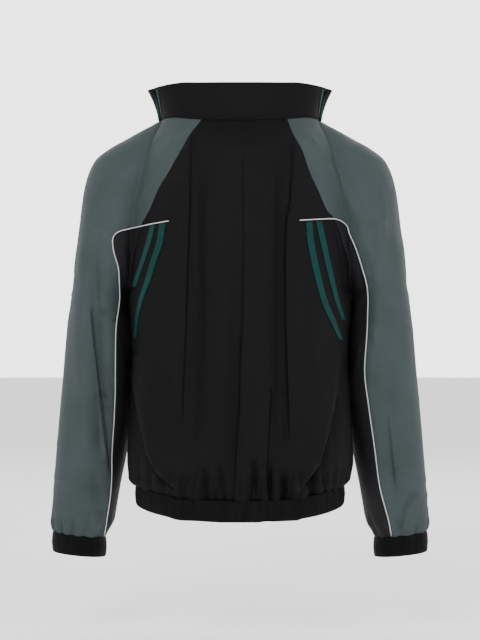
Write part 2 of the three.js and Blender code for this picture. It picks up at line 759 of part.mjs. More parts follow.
function collarStripe(side, row) {
  const line = steps(6).map((t) => collarPoint(side, lerp(row.shareTop, row.share, t), 0.94 - 0.88 * t));
  const facing = line[3].normal;
  // One direction across for the whole stripe keeps each of its faces flat
  const across = new THREE.Vector3(-facing.y, facing.x, 0).normalize().multiplyScalar(sides[side]);
  const list = line.map((p) => {
    const normal = p.normal.clone().projectOnPlane(across).normalize();
    const ends = [-collarStripeWidth / 2, collarStripeWidth / 2];
    return ends.map((way) => ({ x: p.x + across.x * way, y: p.y + across.y * way, z: p.z, normal }));
  });
  return new Skin().rows(list, side === 'left');
}

// The piping: a flattened cord that lies on the seam between the slate sleeve and the black cloth
function pipingPoints(side) {
  const start = pipingStart[side];
  const corner = { z: cornerZ[side] - 0.5, x: raglanX[side](cornerZ[side]) };
  const onPanel = steps(4).map((share) => {
    const z = lerp(start.z, corner.z, share);
    return bodyPoint(side, z, distanceTo(halfOutline(side, z), 'back', lerp(start.x, corner.x, share)));
  });
  const onArm = armRows.map((z, i) => ({ ...bodyPoint(side, z, seams.piping(side, z)), lift: i === 0 ? cornerLift : 0 }));
  onPanel[onPanel.length - 1].lift = cornerLift;
  const below = [...sleeveRows, cuffGatherTopZ, -652, -664];
  return [...onPanel, ...onArm, ...below.map((z) => sleevePoint(side, z, seams.pipingBelow(side, z)))];
}

const cordSides = 6;
function cordOver(points, width, height, lift) {
  const line = points.map((p) => new THREE.Vector3(p.x, p.y, p.z).addScaledVector(p.normal, lift + (p.lift ?? 0) + height / 2));
  const positions = line.flatMap((point, i) => {
    const along = line[Math.min(i + 1, line.length - 1)].clone().sub(line[Math.max(i - 1, 0)]).normalize();
    const across = new THREE.Vector3().crossVectors(along, points[i].normal).normalize();
    const up = new THREE.Vector3().crossVectors(across, along);
    return steps(cordSides).slice(0, -1).flatMap((share) => {
      const angle = share * 2 * Math.PI;
      const corner = point.clone().addScaledVector(across, (width / 2) * Math.cos(angle));
      return corner.addScaledVector(up, (height / 2) * Math.sin(angle)).toArray();
    });
  });
  const faces = [];
  for (let i = 0; i < line.length - 1; i += 1) {
    for (let j = 0; j < cordSides; j += 1) {
      const a = i * cordSides + j;
      const b = i * cordSides + ((j + 1) % cordSides);
      faces.push(a, b + cordSides, b, a, a + cordSides, b + cordSides);
    }
  }
  const last = (line.length - 1) * cordSides;
  for (let j = 1; j < cordSides - 1; j += 1) faces.push(0, j, j + 1, last, last + j + 1, last + j);
  return geometryOf(positions, faces);
}

// The zip: a tape beside each front edge, from the top of the collar to the foot of the band
function zipTape(side) {
  const tapeEdges = (edge) => [edge, edge + tapeWidth];
  const collarRows = [1, 0.6, 0.3, 0].map((up) => (
    tapeEdges(neckLength + halfGap).map((at) => collarPoint(side, at / neckLength, up))
  ));
  const frontZ = [-22, -40, neckRowsEndZ, ...openRows, cornerZ[side], ...armRows, ...bodyRows, hemGatherTopZ, -575, -598];
  const frontRows = frontZ.map((z) => tapeEdges(seams.zip(side, z)).map((at) => bodyPoint(side, z, at)));
  const bandRows = bandShares.map((share) => tapeEdges(seams.zip(side, hemBandLevel)).map((at) => bandPoint(side, at, share)));
  return new Skin().rows([...collarRows, ...frontRows, ...bandRows], side === 'left');
}

function manifoldOf(geometry) {
  const plain = geometry.clone();
  plain.deleteAttribute('normal');
  plain.deleteAttribute('uv');
  const merged = mergeVertices(plain, 1e-4);
  return new wasm.Manifold(new wasm.Mesh({
    numProp: 3,
    vertProperties: merged.attributes.position.array,
    triVerts: new Uint32Array(merged.index.array),
  }));
}

function geometryFrom(solid) {
  const mesh = solid.getMesh();
  return geometryOf(Array.from(mesh.vertProperties), Array.from(mesh.triVerts));
}

function box(width, depth, height, x, y, z) {
  return new THREE.BoxGeometry(width, depth, height).translate(x, y, z);
}

function rod(radius, length, x, y, z, sideCount) {
  return new THREE.CylinderGeometry(radius, radius, length, sideCount).rotateZ(Math.PI / 2).translate(x, y, z);
}

// The slider: two plates joined by a post between the tapes, and a pin that the pull tab hangs on
const zipY = torso.front(sliderZ);
const plate = { width: 10, height: 15, thickness: 1.4, clearance: 0.5 };
const plateY = tapeThickness / 2 + plate.clearance + plate.thickness / 2;
const pin = { y: zipY + plateY + plate.thickness / 2 + 2.6, z: sliderZ + 3, radius: 0.7, gap: 0.4 };
const cheek = { inner: 2.7, thickness: 1.1 };
const tab = { length: 26, width: 7, neck: 4.2, thickness: 1.3, eyeRadius: 2 };

function slider() {
  const faces = [1, -1].map((way) => plateOutline(way));
  const post = box(1.3, 2 * plateY, 3, 0, zipY, sliderZ + 6);
  const cheeks = [-1, 1].map((way) => {
    const depth = pin.y - (zipY + plateY) + 1.2;
    return box(cheek.thickness, depth, 3, way * (cheek.inner + cheek.thickness / 2), zipY + plateY + depth / 2, pin.z);
  });
  const bar = rod(pin.radius, 2 * cheek.inner + cheek.thickness, 0, pin.y, pin.z, 10);
  return geometryFrom([...faces, post, ...cheeks, bar].map(manifoldOf).reduce((all, piece) => all.add(piece)));
}

function roundedPlate(points, thickness) {
  const shape = new THREE.Shape(points.map(([x, z]) => new THREE.Vector2(x, z)));
  const flat = new THREE.ExtrudeGeometry(shape, { depth: thickness, bevelEnabled: false });
  return flat.rotateX(Math.PI / 2).translate(0, thickness / 2, 0);
}

function plateOutline(way) {
  const [w, h] = [plate.width / 2, plate.height / 2];
  const outline = [[-w * 0.7, -h], [w * 0.7, -h], [w, -h * 0.6], [w, h * 0.7], [w * 0.6, h], [-w * 0.6, h], [-w, h * 0.7], [-w, -h * 0.6]];
  return roundedPlate(outline, plate.thickness).translate(0, zipY + way * plateY, sliderZ);
}

function pullTab() {
  const [n, w, foot] = [tab.neck / 2, tab.width / 2, -tab.length];
  const outline = [[-n, -0.5], [-n, -4], [-w, -8], [-w, foot + 2], [-w + 2, foot], [w - 2, foot], [w, foot + 2], [w, -8], [n, -4], [n, -0.5]];
  const leaf = roundedPlate(outline.reverse(), tab.thickness);
  const eye = rod(tab.eyeRadius, tab.neck, 0, 0, 0, 14);
  const bore = rod(pin.radius + pin.gap, tab.neck + 2, 0, 0, 0, 14);
  const joined = manifoldOf(leaf).add(manifoldOf(eye)).subtract(manifoldOf(bore));
  return geometryFrom(joined).translate(0, pin.y, pin.z);
}

// Materials
const cloth = (color, roughness) => new THREE.MeshStandardMaterial({ color, roughness, metalness: 0 });
const black = cloth('#1a1a1c', 0.7);
const bandBlack = cloth('#161618', 0.9);
const slate = cloth('#4e5a5a', 0.6);
const green = cloth('#14463e', 0.7);
const pale = cloth('#c8caca', 0.5);
const metal = new THREE.MeshStandardMaterial({ color: '#2a2a2c', roughness: 0.4, metalness: 0.8 });

const jacket = new THREE.Group();
function addPiece(name, geometry, material) {
  const mesh = new THREE.Mesh(geometry, material);
  mesh.name = name;
  jacket.add(mesh);
}

const liftTrim = clothThickness / 2 + trimLift;
const liftCollarTrim = collarThickness / 2 + trimLift;
addPiece('back_panel', backPanel().wall(clothThickness), black);
addPiece('hem_band', hemBand().wall(bandThickness), bandBlack);
addPiece('collar', collar().wall(collarThickness), black);
for (const side of ['left', 'right']) {
  addPiece(`front_${side}`, frontPanel(side).wall(clothThickness), black);
  addPiece(`sleeve_${side}`, upperSleeve(side).wall(clothThickness), slate);
  addPiece(`under_sleeve_${side}`, underSleeve(side).wall(clothThickness), black);
  addPiece(`cuff_${side}`, cuff(side).wall(bandThickness), bandBlack);
  addPiece(`piping_${side}`, cordOver(pipingPoints(side), pipingWidth, pipingHeight, liftTrim), pale);
  addPiece(`zip_tape_${side}`, zipTape(side).wall(tapeThickness), bandBlack);
  for (const row of collarStripes) {
    const strip = collarStripe(side, row).solid(liftCollarTrim + trimThickness, liftCollarTrim);
    addPiece(`collar_stripe_${side}_${row.name}`, strip, green);
  }
}
for (const name of Object.keys(backStripes)) {
  addPiece(`back_stripe_${name}`, backStripe(name).solid(liftTrim + trimThickness, liftTrim), green);
}
addPiece('slider', slider(), metal);
addPiece('pull_tab', pullTab(), metal);

export default jacket;
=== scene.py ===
"""Track jacket: raglan sleeves, stand collar, elastic hem and cuffs, front zip. Worn shape, hollow.

Tables and sizes are in millimetres, as a pattern cutter would write them. Meshes are in metres.
+Z is up, the back of the jacket faces -Y and the zip faces +Y.
"""

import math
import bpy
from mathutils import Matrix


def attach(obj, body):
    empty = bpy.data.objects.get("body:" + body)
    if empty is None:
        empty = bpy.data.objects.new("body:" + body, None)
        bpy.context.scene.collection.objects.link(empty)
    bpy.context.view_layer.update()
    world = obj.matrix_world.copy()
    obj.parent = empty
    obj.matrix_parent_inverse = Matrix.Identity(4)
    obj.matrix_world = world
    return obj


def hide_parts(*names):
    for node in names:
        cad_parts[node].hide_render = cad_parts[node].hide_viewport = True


bl_info = {
    "name": "Track Jacket",
    "version": (1, 0, 0),
    "blender": (4, 5, 0),
    "location": "View3D > Sidebar > Jacket",
    "description": "Builds the cloth, trims, zip and stage of a track jacket",
    "category": "Add Mesh",
}

import bmesh
import bpy
import numpy as np
from mathutils import Vector

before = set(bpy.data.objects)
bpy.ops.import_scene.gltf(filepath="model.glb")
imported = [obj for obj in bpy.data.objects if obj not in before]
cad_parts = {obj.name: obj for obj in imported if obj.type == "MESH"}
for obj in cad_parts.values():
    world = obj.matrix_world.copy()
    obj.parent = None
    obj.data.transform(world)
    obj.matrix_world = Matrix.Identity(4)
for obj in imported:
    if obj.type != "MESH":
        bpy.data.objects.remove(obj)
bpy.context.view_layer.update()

# The wearer's left and right, and the heights and sizes that several pieces share
SIDES = {"left": -1.0, "right": 1.0}
ARMPIT_Z = -285.0
ARMPIT_Y = 20.0
ARMPIT_RUN = 7.0
JOINED_END_Z = -264.0
HEM_SEAM_Z = -582.0
HEM_DROP = 19.0
HEM_GATHER_TOP_Z = -545.0
HEM_BAND_LEVEL = -640.0
CUFF_SEAM_Z = -666.0
CUFF_GATHER_TOP_Z = -638.0
CUFF_LEVEL = -690.0
SLEEVE_FREE_Z = -485.0
BAND_HEIGHT = 32.0
TORSO_ROUNDNESS = 2.3
OUTLINE_STEPS = 150
NECK_LEVEL = -6.0
NECK_ROWS_END_Z = -59.0
CORNER_Z = {"left": -175.0, "right": -163.0, "front": -175.0}
SLIDER_Z = -232.0
ZIP_HALF_WIDTH = 7.0
TAPE_WIDTH = 6.5
TOOTH_PITCH = 2.9
SLIDER_ROOM = 8.0
ROW_STEP = 4.5
EVEN_WIDTH = 190.0
TUCK_DEPTH = 2.6
TUCK_LENGTH = 4.0


def table(columns, rows):
    return {name: np.array([row[i] for row in rows], dtype=float) for i, name in enumerate(columns)}


# Body sections, from the neck to the hem; depths are from the middle plane to the cloth
TORSO_SECTIONS = table(["z", "half_width", "back", "front"], [
    [10, 120, 66, 62], [-10, 126, 75, 72], [-34, 137, 91, 86], [-60, 146, 107, 102],
    [-98, 156, 117, 113], [-150, 166, 125, 121], [-210, 174, 128, 123], [-285, 177, 126, 121],
    [-370, 172, 122, 119], [-450, 174.5, 121, 118], [-500, 178, 122, 120], [-545, 180, 126, 125],
    [-575, 174, 124, 122], [-594, 166, 118, 116], [-650, 165, 117, 115],
])

# Sleeve sections: outer edge, inner edge, half depth, middle depth, and how softly it joins the body
SLEEVE_SECTIONS = table(["z", "outer", "inner", "depth", "middle", "blend"], [
    [10, 112, 78, 4, 2, 20], [0, 124, 78, 10, 4, 24], [-11, 141, 76, 20, 5, 30],
    [-20, 159, 76, 27, 7, 36], [-34, 184, 80, 36, 10, 42], [-48, 210, 88, 46, 13, 46],
    [-67, 233, 98, 56, 16, 50], [-96, 246, 116, 66, 19, 50], [-128, 253, 130, 71, 20, 46],
    [-170, 258, 141, 72, 23, 36], [-220, 264, 152, 70, 25, 24], [-262, 268, 166, 66, 26, 14],
    [-285, 271, 178.2, 63, 27, 8], [-338, 278.5, 172, 60, 35, 6], [-370, 282, 169, 60, 39, 6],
    [-450, 290, 172, 58, 46, 6], [-533, 298, 184, 57, 53, 6], [-582, 302, 193.5, 55, 56, 6],
    [-648, 306, 206, 47, 60, 6], [-672, 304, 218, 38, 62, 6], [-710, 305.5, 222, 37, 63, 6],
])

# Seams from the neck to the armpit, and between the slate sleeve and the black under-sleeve
RAGLAN_SEAMS = {
    "left": table(["z", "x"], [
        [0, 58], [-9, 61], [-30, 76], [-59, 91], [-88, 108], [-122, 128], [-152, 142], [-175, 156],
        [-205, 166], [-235, 172], [-262, 174], [-285, 176.4]]),
    "right": table(["z", "x"], [
        [0, 73], [-9, 75], [-30, 82], [-59, 96], [-88, 106], [-122, 122], [-152, 136], [-163, 147],
        [-205, 164], [-235, 172], [-262, 174], [-285, 176.4]]),
    "front": table(["z", "x"], [
        [0, 118], [-9, 119], [-30, 122], [-59, 127], [-88, 132], [-122, 138], [-152, 145], [-175, 152],
        [-205, 158], [-235, 162], [-262, 165], [-285, 176.4]]),
}
SLEEVE_SEAMS = {
    "left": table(["z", "x"], [
        [-175, 156], [-182, 192], [-196, 201], [-212, 200], [-243, 192], [-282, 192], [-337, 198],
        [-432, 199], [-528, 204], [-600, 209], [-640, 214.5], [-690, 227]]),
    "right": table(["z", "x"], [
        [-163, 147], [-165.5, 157], [-171, 165], [-182, 172], [-196, 178], [-212, 184], [-243, 194],
        [-282, 204], [-337, 203], [-400, 199], [-460, 206], [-528, 216], [-588, 224], [-659, 243],
        [-690, 247]]),
    "front": table(["z", "x"], [
        [-175, 152], [-186, 176], [-212, 190], [-243, 197], [-282, 204], [-337, 208], [-432, 212],
        [-528, 220], [-625, 230], [-690, 238]]),
}

NECK_EDGE = table(["along", "z"], [[0, -10], [60, -8], [130, -2], [170, -4], [235, -12]])
ZIP_EDGE = table(["z", "x"], [
    [0, 104], [-12, 102], [-60, 90], [-110, 67], [-160, 40], [-205, 15],
    [-232, ZIP_HALF_WIDTH], [-700, ZIP_HALF_WIDTH],
])

# Folds: a line from top to bottom, how wide each flank is, and how far it stands out
FOLD_COLUMNS = ["top_x", "top_z", "end_x", "end_z", "flank_in", "flank_out", "height"]
BACK_FOLDS = table(FOLD_COLUMNS, [
    [-77, -20, -88, -540, 13, 13, 5], [-66, -20, -74, -540, 12, 12, -5],
    [69, -20, 62, -560, 12, 12, -6], [80, -20, 76, -560, 12, 12, 4],
    [-2, -190, -9, -590, 10, 10, -4], [12, -150, 8, -590, 14, 14, 3], [43, -470, 42, -600, 8, 8, -4],
    [-236, -110, -221, -560, 13, 13, -8], [-252, -220, -248, -560, 16, 16, 4],
    [224, -100, 216, -380, 10, 10, 6], [238, -330, 244, -640, 15, 15, -6],
])
FRONT_FOLDS = table(FOLD_COLUMNS, [
    [-60, -280, -52, -590, 14, 14, -5], [52, -300, 64, -590, 14, 14, -5],
    [-112, -200, -118, -560, 16, 16, 5], [118, -220, 110, -580, 16, 16, 5],
    [-242, -180, -232, -560, 14, 14, -7], [240, -160, 236, -600, 14, 14, -7],
])

# Creases that only the cloth has, seen as lines on one face. A step is a fold edge: it lifts the cloth to
# its right by height and sinks the cloth to its left. A crease is a sharp valley or ridge, a roll a soft one.
# Each holds its line from top to bottom as (place up and down, place across), its reach left and right, and
# its height.
CREASES = {
    "back": [
        ("step", [(-18, -76), (-160, -77.5), (-237, -80.5), (-333, -83.5), (-430, -88), (-520, -91)],
         16, 28, -2.6),
        ("step", [(-22, 83), (-84, 81), (-141, 77), (-172, 71), (-237, 69), (-314, 70),
                  (-430, 73.5), (-520, 77)],
         28, 16, 2.6),
        ("step", [(-50, 4.5), (-199, 6), (-314, 4), (-400, 1.5)], 14, 18, 1.1),
        ("step", [(-350, 2), (-449, -1), (-525, -5.5), (-591, -8), (-640, -8)], 13, 15, 2.2),
        ("step", [(-420, 48.5), (-470, 46), (-506, 44), (-545, 41.5), (-583, 43), (-640, 46)], 13, 24, -2.4),
        ("crease", [(-130, 16), (-230, 22), (-290, 21)], 6, 12, -0.9),
        ("crease", [(-240, -62), (-330, -58), (-400, -60)], 8, 8, -1.1),
        ("roll", [(-300, -143), (-360, -146), (-450, -140)], 12, 18, 2.2),
        ("roll", [(-330, 112), (-430, 118), (-520, 104)], 18, 14, 2.0),
        ("roll", [(-100, -110), (-160, -104)], 16, 18, 1.8),
        ("crease", [(-186, 152), (-235, 161), (-290, 167)], 6, 10, -2.2),
        ("crease", [(-178, 158), (-215, 170), (-262, 178)], 5, 12, 1.6),
        ("step", [(-180, -159), (-250, -166), (-330, -171)], 12, 12, 1.6),
        ("crease", [(-190, 172), (-232, 187), (-290, 197)], 6, 8, -2.4),
        ("crease", [(-262, 206), (-296, 190), (-330, 176)], 8, 7, 2.0),
        ("crease", [(-205, -184), (-262, -178), (-310, -182)], 7, 8, 2.0),
        ("crease", [(-340, -190), (-380, -178)], 9, 8, -1.8),
        ("crease", [(-360, 192), (-420, 180), (-470, 190)], 7, 7, 1.8),
        ("step", [(-364, -165), (-430, -167), (-479, -156), (-533, -144), (-560, -127), (-583, -100),
                  (-600, -72)],
         22, 42, 3.2),
        ("step", [(-364, 160), (-422, 154), (-460, 148), (-506, 134), (-545, 123), (-575, 98), (-600, 84)],
         42, 22, -3.2),
        ("crease", [(-364, -168), (-430, -170), (-479, -159), (-533, -147), (-560, -130), (-583, -103),
                    (-600, -75)],
         6, 3, -3.4),
        ("crease", [(-364, 163), (-422, 157), (-460, 151), (-506, 137), (-545, 126), (-575, 101), (-600, 87)],
         3, 6, -3.4),
        ("crease", [(-430, 160), (-480, 150), (-540, 146)], 7, 7, -1.8),
        ("crease", [(-450, 168), (-520, 158), (-580, 150)], 6, 9, 1.5),
        ("crease", [(-470, -166), (-540, -160), (-590, -146)], 8, 6, -1.8),
        ("crease", [(-548, -56), (-576, -54), (-640, -53)], 8, 6, -5.0),
        ("crease", [(-562, -43), (-585, -40), (-640, -36)], 5, 6, -4.0),
        ("crease", [(-536, -34), (-570, -28), (-640, -20)], 6, 7, -4.4),
        ("crease", [(-528, 19), (-552, 23), (-580, 20), (-640, 14)], 6, 7, -5.0),
        ("crease", [(-566, 33), (-590, 31), (-640, 30)], 5, 5, -3.6),
        ("crease", [(-555, 70), (-580, 68), (-640, 66)], 7, 6, -4.6),
        ("crease", [(-548, 82), (-575, 78), (-640, 76)], 5, 8, -3.0),
        ("crease", [(-560, -82), (-585, -86), (-640, -90)], 8, 6, -3.6),
        ("crease", [(-566, 106), (-590, 112), (-640, 116)], 9, 7, -3.8),
        ("roll", [(-560, -66), (-640, -68)], 9, 9, 3.4),
        ("roll", [(-556, 4), (-640, 4)], 9, 9, 3.0),
        ("roll", [(-550, 56), (-640, 55)], 9, 9, 3.2),
        ("roll", [(-560, 94), (-640, 96)], 12, 10, 3.6),
        ("step", [(-300, -238), (-358, -233.5), (-398, -228.5), (-461, -221), (-525, -214), (-575, -210)],
         24, 16, -4.4),
        ("crease", [(-225, -228), (-277, -229), (-310, -222), (-322, -204)], 15, 6, -3.3),
        ("roll", [(-250, -240), (-348, -247), (-440, -252)], 14, 16, 1.8),
        ("crease", [(-440, -222), (-470, -204)], 9, 9, -2.6),
        ("crease", [(-400, -214), (-428, -203)], 8, 8, -2.2),
        ("roll", [(-560, -232), (-600, -227), (-640, -220)], 14, 12, -2.4),
        ("roll", [(-520, -262), (-640, -268)], 14, 14, 1.4),
        ("crease", [(-16, -96), (-60, -120), (-146, -161), (-172, -172)], 10, 18, 1.3),
        ("crease", [(-40, -126), (-90, -152), (-150, -186)], 14, 10, -1.2),
        ("crease", [(-14, 100), (-63, 130), (-97, 154), (-137, 174), (-171, 189), (-225, 206), (-270, 214)],
         16, 9, 1.9),
        ("crease", [(-60, 142), (-110, 172), (-170, 202), (-240, 216)], 8, 18, -1.6),
        ("crease", [(-195, 218), (-250, 221), (-300, 213)], 10, 14, -1.8),
        ("roll", [(-180, 252), (-340, 262), (-460, 262)], 16, 14, 1.6),
        ("roll", [(-320, 226), (-400, 218), (-480, 222)], 10, 16, -2.2),
        ("step", [(-470, 236), (-540, 244), (-590, 250)], 16, 12, 1.6),
        ("step", [(-596, 284), (-606, 278), (-622, 265), (-660, 259)], 9, 16, 2.6),
        ("roll", [(-530, 232), (-570, 238), (-620, 246)], 9, 12, -1.6),
    ],
    "front": [
        ("step", [(-60, -112), (-160, -110), (-300, -104), (-470, -108), (-560, -104)], 18, 24, -2.2),
        ("step", [(-70, 116), (-180, 112), (-320, 106), (-450, 110), (-550, 104)], 24, 18, 2.0),
        ("crease", [(-250, -30), (-360, -34), (-560, -30)], 10, 14, -1.6),
        ("crease", [(-240, 26), (-380, 32), (-570, 28)], 12, 10, -1.5),
        ("step", [(-330, -66), (-450, -72), (-560, -62), (-640, -60)], 12, 14, 2.0),
        ("step", [(-380, 70), (-480, 66), (-570, 74), (-640, 76)], 14, 12, -2.0),
        ("roll", [(-120, -140), (-220, -116), (-320, -96)], 16, 20, 1.8),
        ("roll", [(-120, 142), (-220, 120), (-320, 98)], 20, 16, 1.8),
        ("step", [(-370, -164), (-440, -162), (-500, -148), (-560, -124), (-596, -96)], 24, 24, 1.6),
        ("step", [(-370, 162), (-440, 158), (-500, 146), (-560, 122), (-596, 92)], 24, 24, -1.6),
        ("crease", [(-545, -84), (-580, -86), (-640, -88)], 6, 6, -2.4),
        ("crease", [(-556, -46), (-585, -44), (-640, -40)], 5, 6, -2.2),
        ("crease", [(-550, 52), (-580, 50), (-640, 46)], 6, 5, -2.4),
        ("crease", [(-560, 92), (-585, 96), (-640, 98)], 6, 6, -2.2),
        ("step", [(-190, -250), (-300, -244), (-420, -236), (-560, -236)], 20, 16, -2.4),
        ("step", [(-200, 252), (-320, 246), (-430, 240), (-570, 246)], 16, 20, 2.4),
        ("crease", [(-290, -236), (-330, -214)], 12, 10, -1.8),
        ("crease", [(-300, 238), (-336, 218)], 10, 12, -1.8),
        ("crease", [(-420, -240), (-456, -216)], 10, 10, -1.4),
        ("crease", [(-430, 246), (-462, 222)], 10, 10, -1.4),
        ("crease", [(-18, -126), (-80, -140), (-160, -172), (-230, -196)], 16, 9, 1.8),
        ("crease", [(-18, 126), (-80, 140), (-160, 172), (-230, 196)], 9, 16, 1.8),
        ("roll", [(-540, -262), (-640, -268)], 12, 14, 1.6),
        ("roll", [(-530, 266), (-640, 272)], 14, 12, 1.6),
    ],
}

# Where the full cloth hangs over the sides, above the hem: side, reach of its edge, height
BACK_POUCHES = [(-1, 1.0, 9.0), (1, 0.86, 8.0)]
FRONT_POUCHES = [(-1, 0.85, 5.0), (1, 0.9, 5.0)]
POUCH_LINE = table(["z", "x"], [[-400, 176], [-470, 160], [-530, 146], [-560, 126], [-604, 92]])

# Short crinkles across the sleeves: middle, reach along the crinkle, width, lean and height
CRINKLES = {
    "left": table(["x", "z", "reach", "width", "lean", "height"], [
        [-214, -304, 30, 4, 0.5, 2.6], [-207, -319, 24, 3, 0.2, -2.6], [-208, -328, 22, 3.5, 0.1, 1.6],
        [-218, -430, 34, 6, -0.45, 1.8], [-210, -455, 26, 5, -0.3, 1.4], [-250, -500, 40, 7, -0.4, 1.4],
        [-262, -590, 38, 7, 0.4, 1.8], [-240, -615, 30, 5, 0.25, 1.5], [-276, -630, 24, 5, 0.2, 1.2],
        [-228, -236, 34, 6, 0.6, 1.3]]),
    "right": table(["x", "z", "reach", "width", "lean", "height"], [
        [222, -262, 32, 5, -0.5, 1.6], [236, -322, 36, 6, -0.4, 1.5], [228, -405, 30, 5, 0.45, 1.6],
        [246, -470, 38, 7, 0.4, 1.5], [262, -560, 36, 6, -0.5, 2.0], [276, -596, 30, 5, -0.4, 1.8],
        [258, -624, 32, 5, -0.2, 1.5], [240, -540, 26, 5, 0.3, 1.1]]),
}
FRONT_CRINKLE_DROP = 23

# Green tapes on the back: distance from the middle at each height
BACK_STRIPES = {
    "left_inner": table(["z", "x"], [
        [-172.5, 119], [-182, 120.5], [-199, 123], [-229, 133], [-260, 143], [-291, 154], [-322, 161],
        [-350, 165]]),
    "left_outer": table(["z", "x"], [
        [-174, 134.5], [-183, 137], [-199, 141], [-229, 151], [-250, 158], [-270, 164]]),
    "right_inner": table(["z", "x"], [
        [-170, 106], [-199, 108.5], [-229, 114], [-260, 121.5], [-291, 130], [-322, 143.5], [-353, 158]]),
    "right_outer": table(["z", "x"], [
        [-169.5, 121.5], [-199, 128], [-229, 135], [-260, 143], [-291, 151], [-322, 162]]),
}
BACK_STRIPE_WIDTH = 11.0
PIPING_START = {"left": (-169.0, 109.0), "right": (-168.5, 90.5)}
PIPING_WIDTH = 1.8
PIPING_HEIGHT = 1.8
PIPING_LIFT = 0.4

# Collar: how high and how far out its top edge is, by share of the way round from the back
COLLAR_SHAPE = table(["share", "height", "lean"], [
    [0, 59, -2], [0.35, 57, 0], [0.62, 51, 8], [0.8, 53, 19], [1, 55, 30],
])
COLLAR_STRIPES = {"inner": (0.70, 0.665), "outer": (0.755, 0.735)}
COLLAR_STRIPE_WIDTH = 3.4

GATHER_DEPTH = table(["share", "depth"], [[0, 0], [0.3, 0.35], [0.65, 1], [0.85, 0.9], [1, 0.45]])


def curve(rows, along, read):
    """Reads a column of a table at any height, along a smooth line that never overshoots."""
    xs, ys = rows[along], rows[read]
    if xs[0] > xs[-1]:
        xs, ys = xs[::-1], ys[::-1]
    rise = np.diff(ys) / np.diff(xs)
    before = np.concatenate([rise[:1], rise])
    after = np.concatenate([rise, rise[-1:]])
    rising = before * after > 0
    slopes = np.where(rising, 2 * before * after / np.where(rising, before + after, 1.0), 0.0)

    def at(value):
        x = np.clip(value, xs[0], xs[-1])
        i = np.clip(np.searchsorted(xs, x, side="right") - 1, 0, len(xs) - 2)
        width = xs[i + 1] - xs[i]
        t = (x - xs[i]) / width
        lift = ys[i + 1] - ys[i]
        bend = slopes[i] + slopes[i + 1] - 2 * lift / width
        lead = 3 * lift / width - 2 * slopes[i] - slopes[i + 1]
        return ys[i] + t * width * (slopes[i] + t * (lead + t * bend))

    return at


torso = {name: curve(TORSO_SECTIONS, "z", name) for name in ("half_width", "back", "front")}
arm = {name: curve(SLEEVE_SECTIONS, "z", name) for name in ("outer", "inner", "depth", "middle", "blend")}
raglan_x = {name: curve(rows, "z", "x") for name, rows in RAGLAN_SEAMS.items()}
sleeve_x = {name: curve(rows, "z", "x") for name, rows in SLEEVE_SEAMS.items()}
zip_x = curve(ZIP_EDGE, "z", "x")
neck_along = curve(NECK_EDGE, "along", "z")
pouch_x = curve(POUCH_LINE, "z", "x")
gather_depth = curve(GATHER_DEPTH, "share", "depth")
collar_height = curve(COLLAR_SHAPE, "share", "height")
collar_lean = curve(COLLAR_SHAPE, "share", "lean")


def smooth_step(low, high, value):
    t = np.clip((value - low) / (high - low), 0.0, 1.0)
    return t * t * (3 - 2 * t)


def soft_max(a, b, blend):
    overlap = np.maximum(blend - np.abs(a - b), 0.0)
    return np.maximum(a, b) + overlap * overlap / (4 * blend)


def section_depth(place, depth, roundness):
    rest = 1 - np.abs(place) ** roundness
    return np.sign(rest) * depth * np.abs(rest) ** (1 / roundness)


def folds_at(rows, x, z, fade_in, fade_out):
    height = np.zeros(np.broadcast(x, z).shape)
    for i in range(len(rows["top_x"])):
        top_z, end_z = rows["top_z"][i], rows["end_z"][i]
        share = (top_z - z) / (top_z - end_z)
        across = x - (rows["top_x"][i] + (rows["end_x"][i] - rows["top_x"][i]) * share)
        inside = across * np.sign(rows["top_x"][i] + 0.01) < 0
        flank = np.where(inside, rows["flank_in"][i], rows["flank_out"][i])
        along = smooth_step(0, fade_in, share) * smooth_step(1, fade_out, share)
        height += rows["height"][i] * np.exp(-((across / flank) ** 2)) * along
    return height


def pouches_at(rows, x, z):
    height = np.zeros(np.broadcast(x, z).shape)
    for side, reach, size in rows:
        beyond = np.abs(x) - pouch_x(z) * reach
        fade = smooth_step(-390, -450, z) * smooth_step(-603, -590, z) * smooth_step(60, 100, np.abs(x))
        lift = size * smooth_step(3, -4, beyond) * smooth_step(-70, -10, beyond) * fade
        height += np.where(x * side > 0, lift, 0.0)
    return height


def crinkles_at(side, x, z):
    rows = CRINKLES[side]
    height = np.zeros(np.broadcast(x, z).shape)
    for i in range(len(rows["x"])):
        along = (x - rows["x"][i]) * SIDES[side]
        across = z - rows["z"][i] - rows["lean"][i] * along
        away = (across / rows["width"][i]) ** 2
        height += rows["height"][i] * np.exp(-away - (along / rows["reach"][i]) ** 2)
    return height


def fold_height(face, x, z):
    """How far the main folds lift the cloth at a place on the back or the front."""
    folds, pouches = (BACK_FOLDS, BACK_POUCHES) if face == "back" else (FRONT_FOLDS, FRONT_POUCHES)
    return folds_at(folds, x, z, 0.3, 0.88) + pouches_at(pouches, x, z)


def crease_height(side, face, x, z):
    """How far the creases lift the cloth, at points of one row."""
    height = crinkles_at(side, x, z if face == "back" else z + FRONT_CRINKLE_DROP)
    for form, line, left, right, size in CREASES[face]:
        top, end = line[0][0], line[-1][0]
        if z.min() > top or z.max() < end:
            continue
        across = x - np.interp(-z, [-point[0] for point in line], [point[1] for point in line])
        near = np.abs(across) / np.where(across < 0, left, right)
        share = (top - z) / (top - end)
        fade = smooth_step(0, 0.1, share) * smooth_step(1, 0.84, share)
        if form == "step":
            shape = np.tanh(across / 1.2) * np.exp(-(near ** 1.3))
        elif form == "crease":
            shape = np.exp(-near)
        else:
            shape = np.exp(-(near ** 2))
        height += size * shape * fade
    return bpy.context.scene.jacket_cloth.crease_depth * height


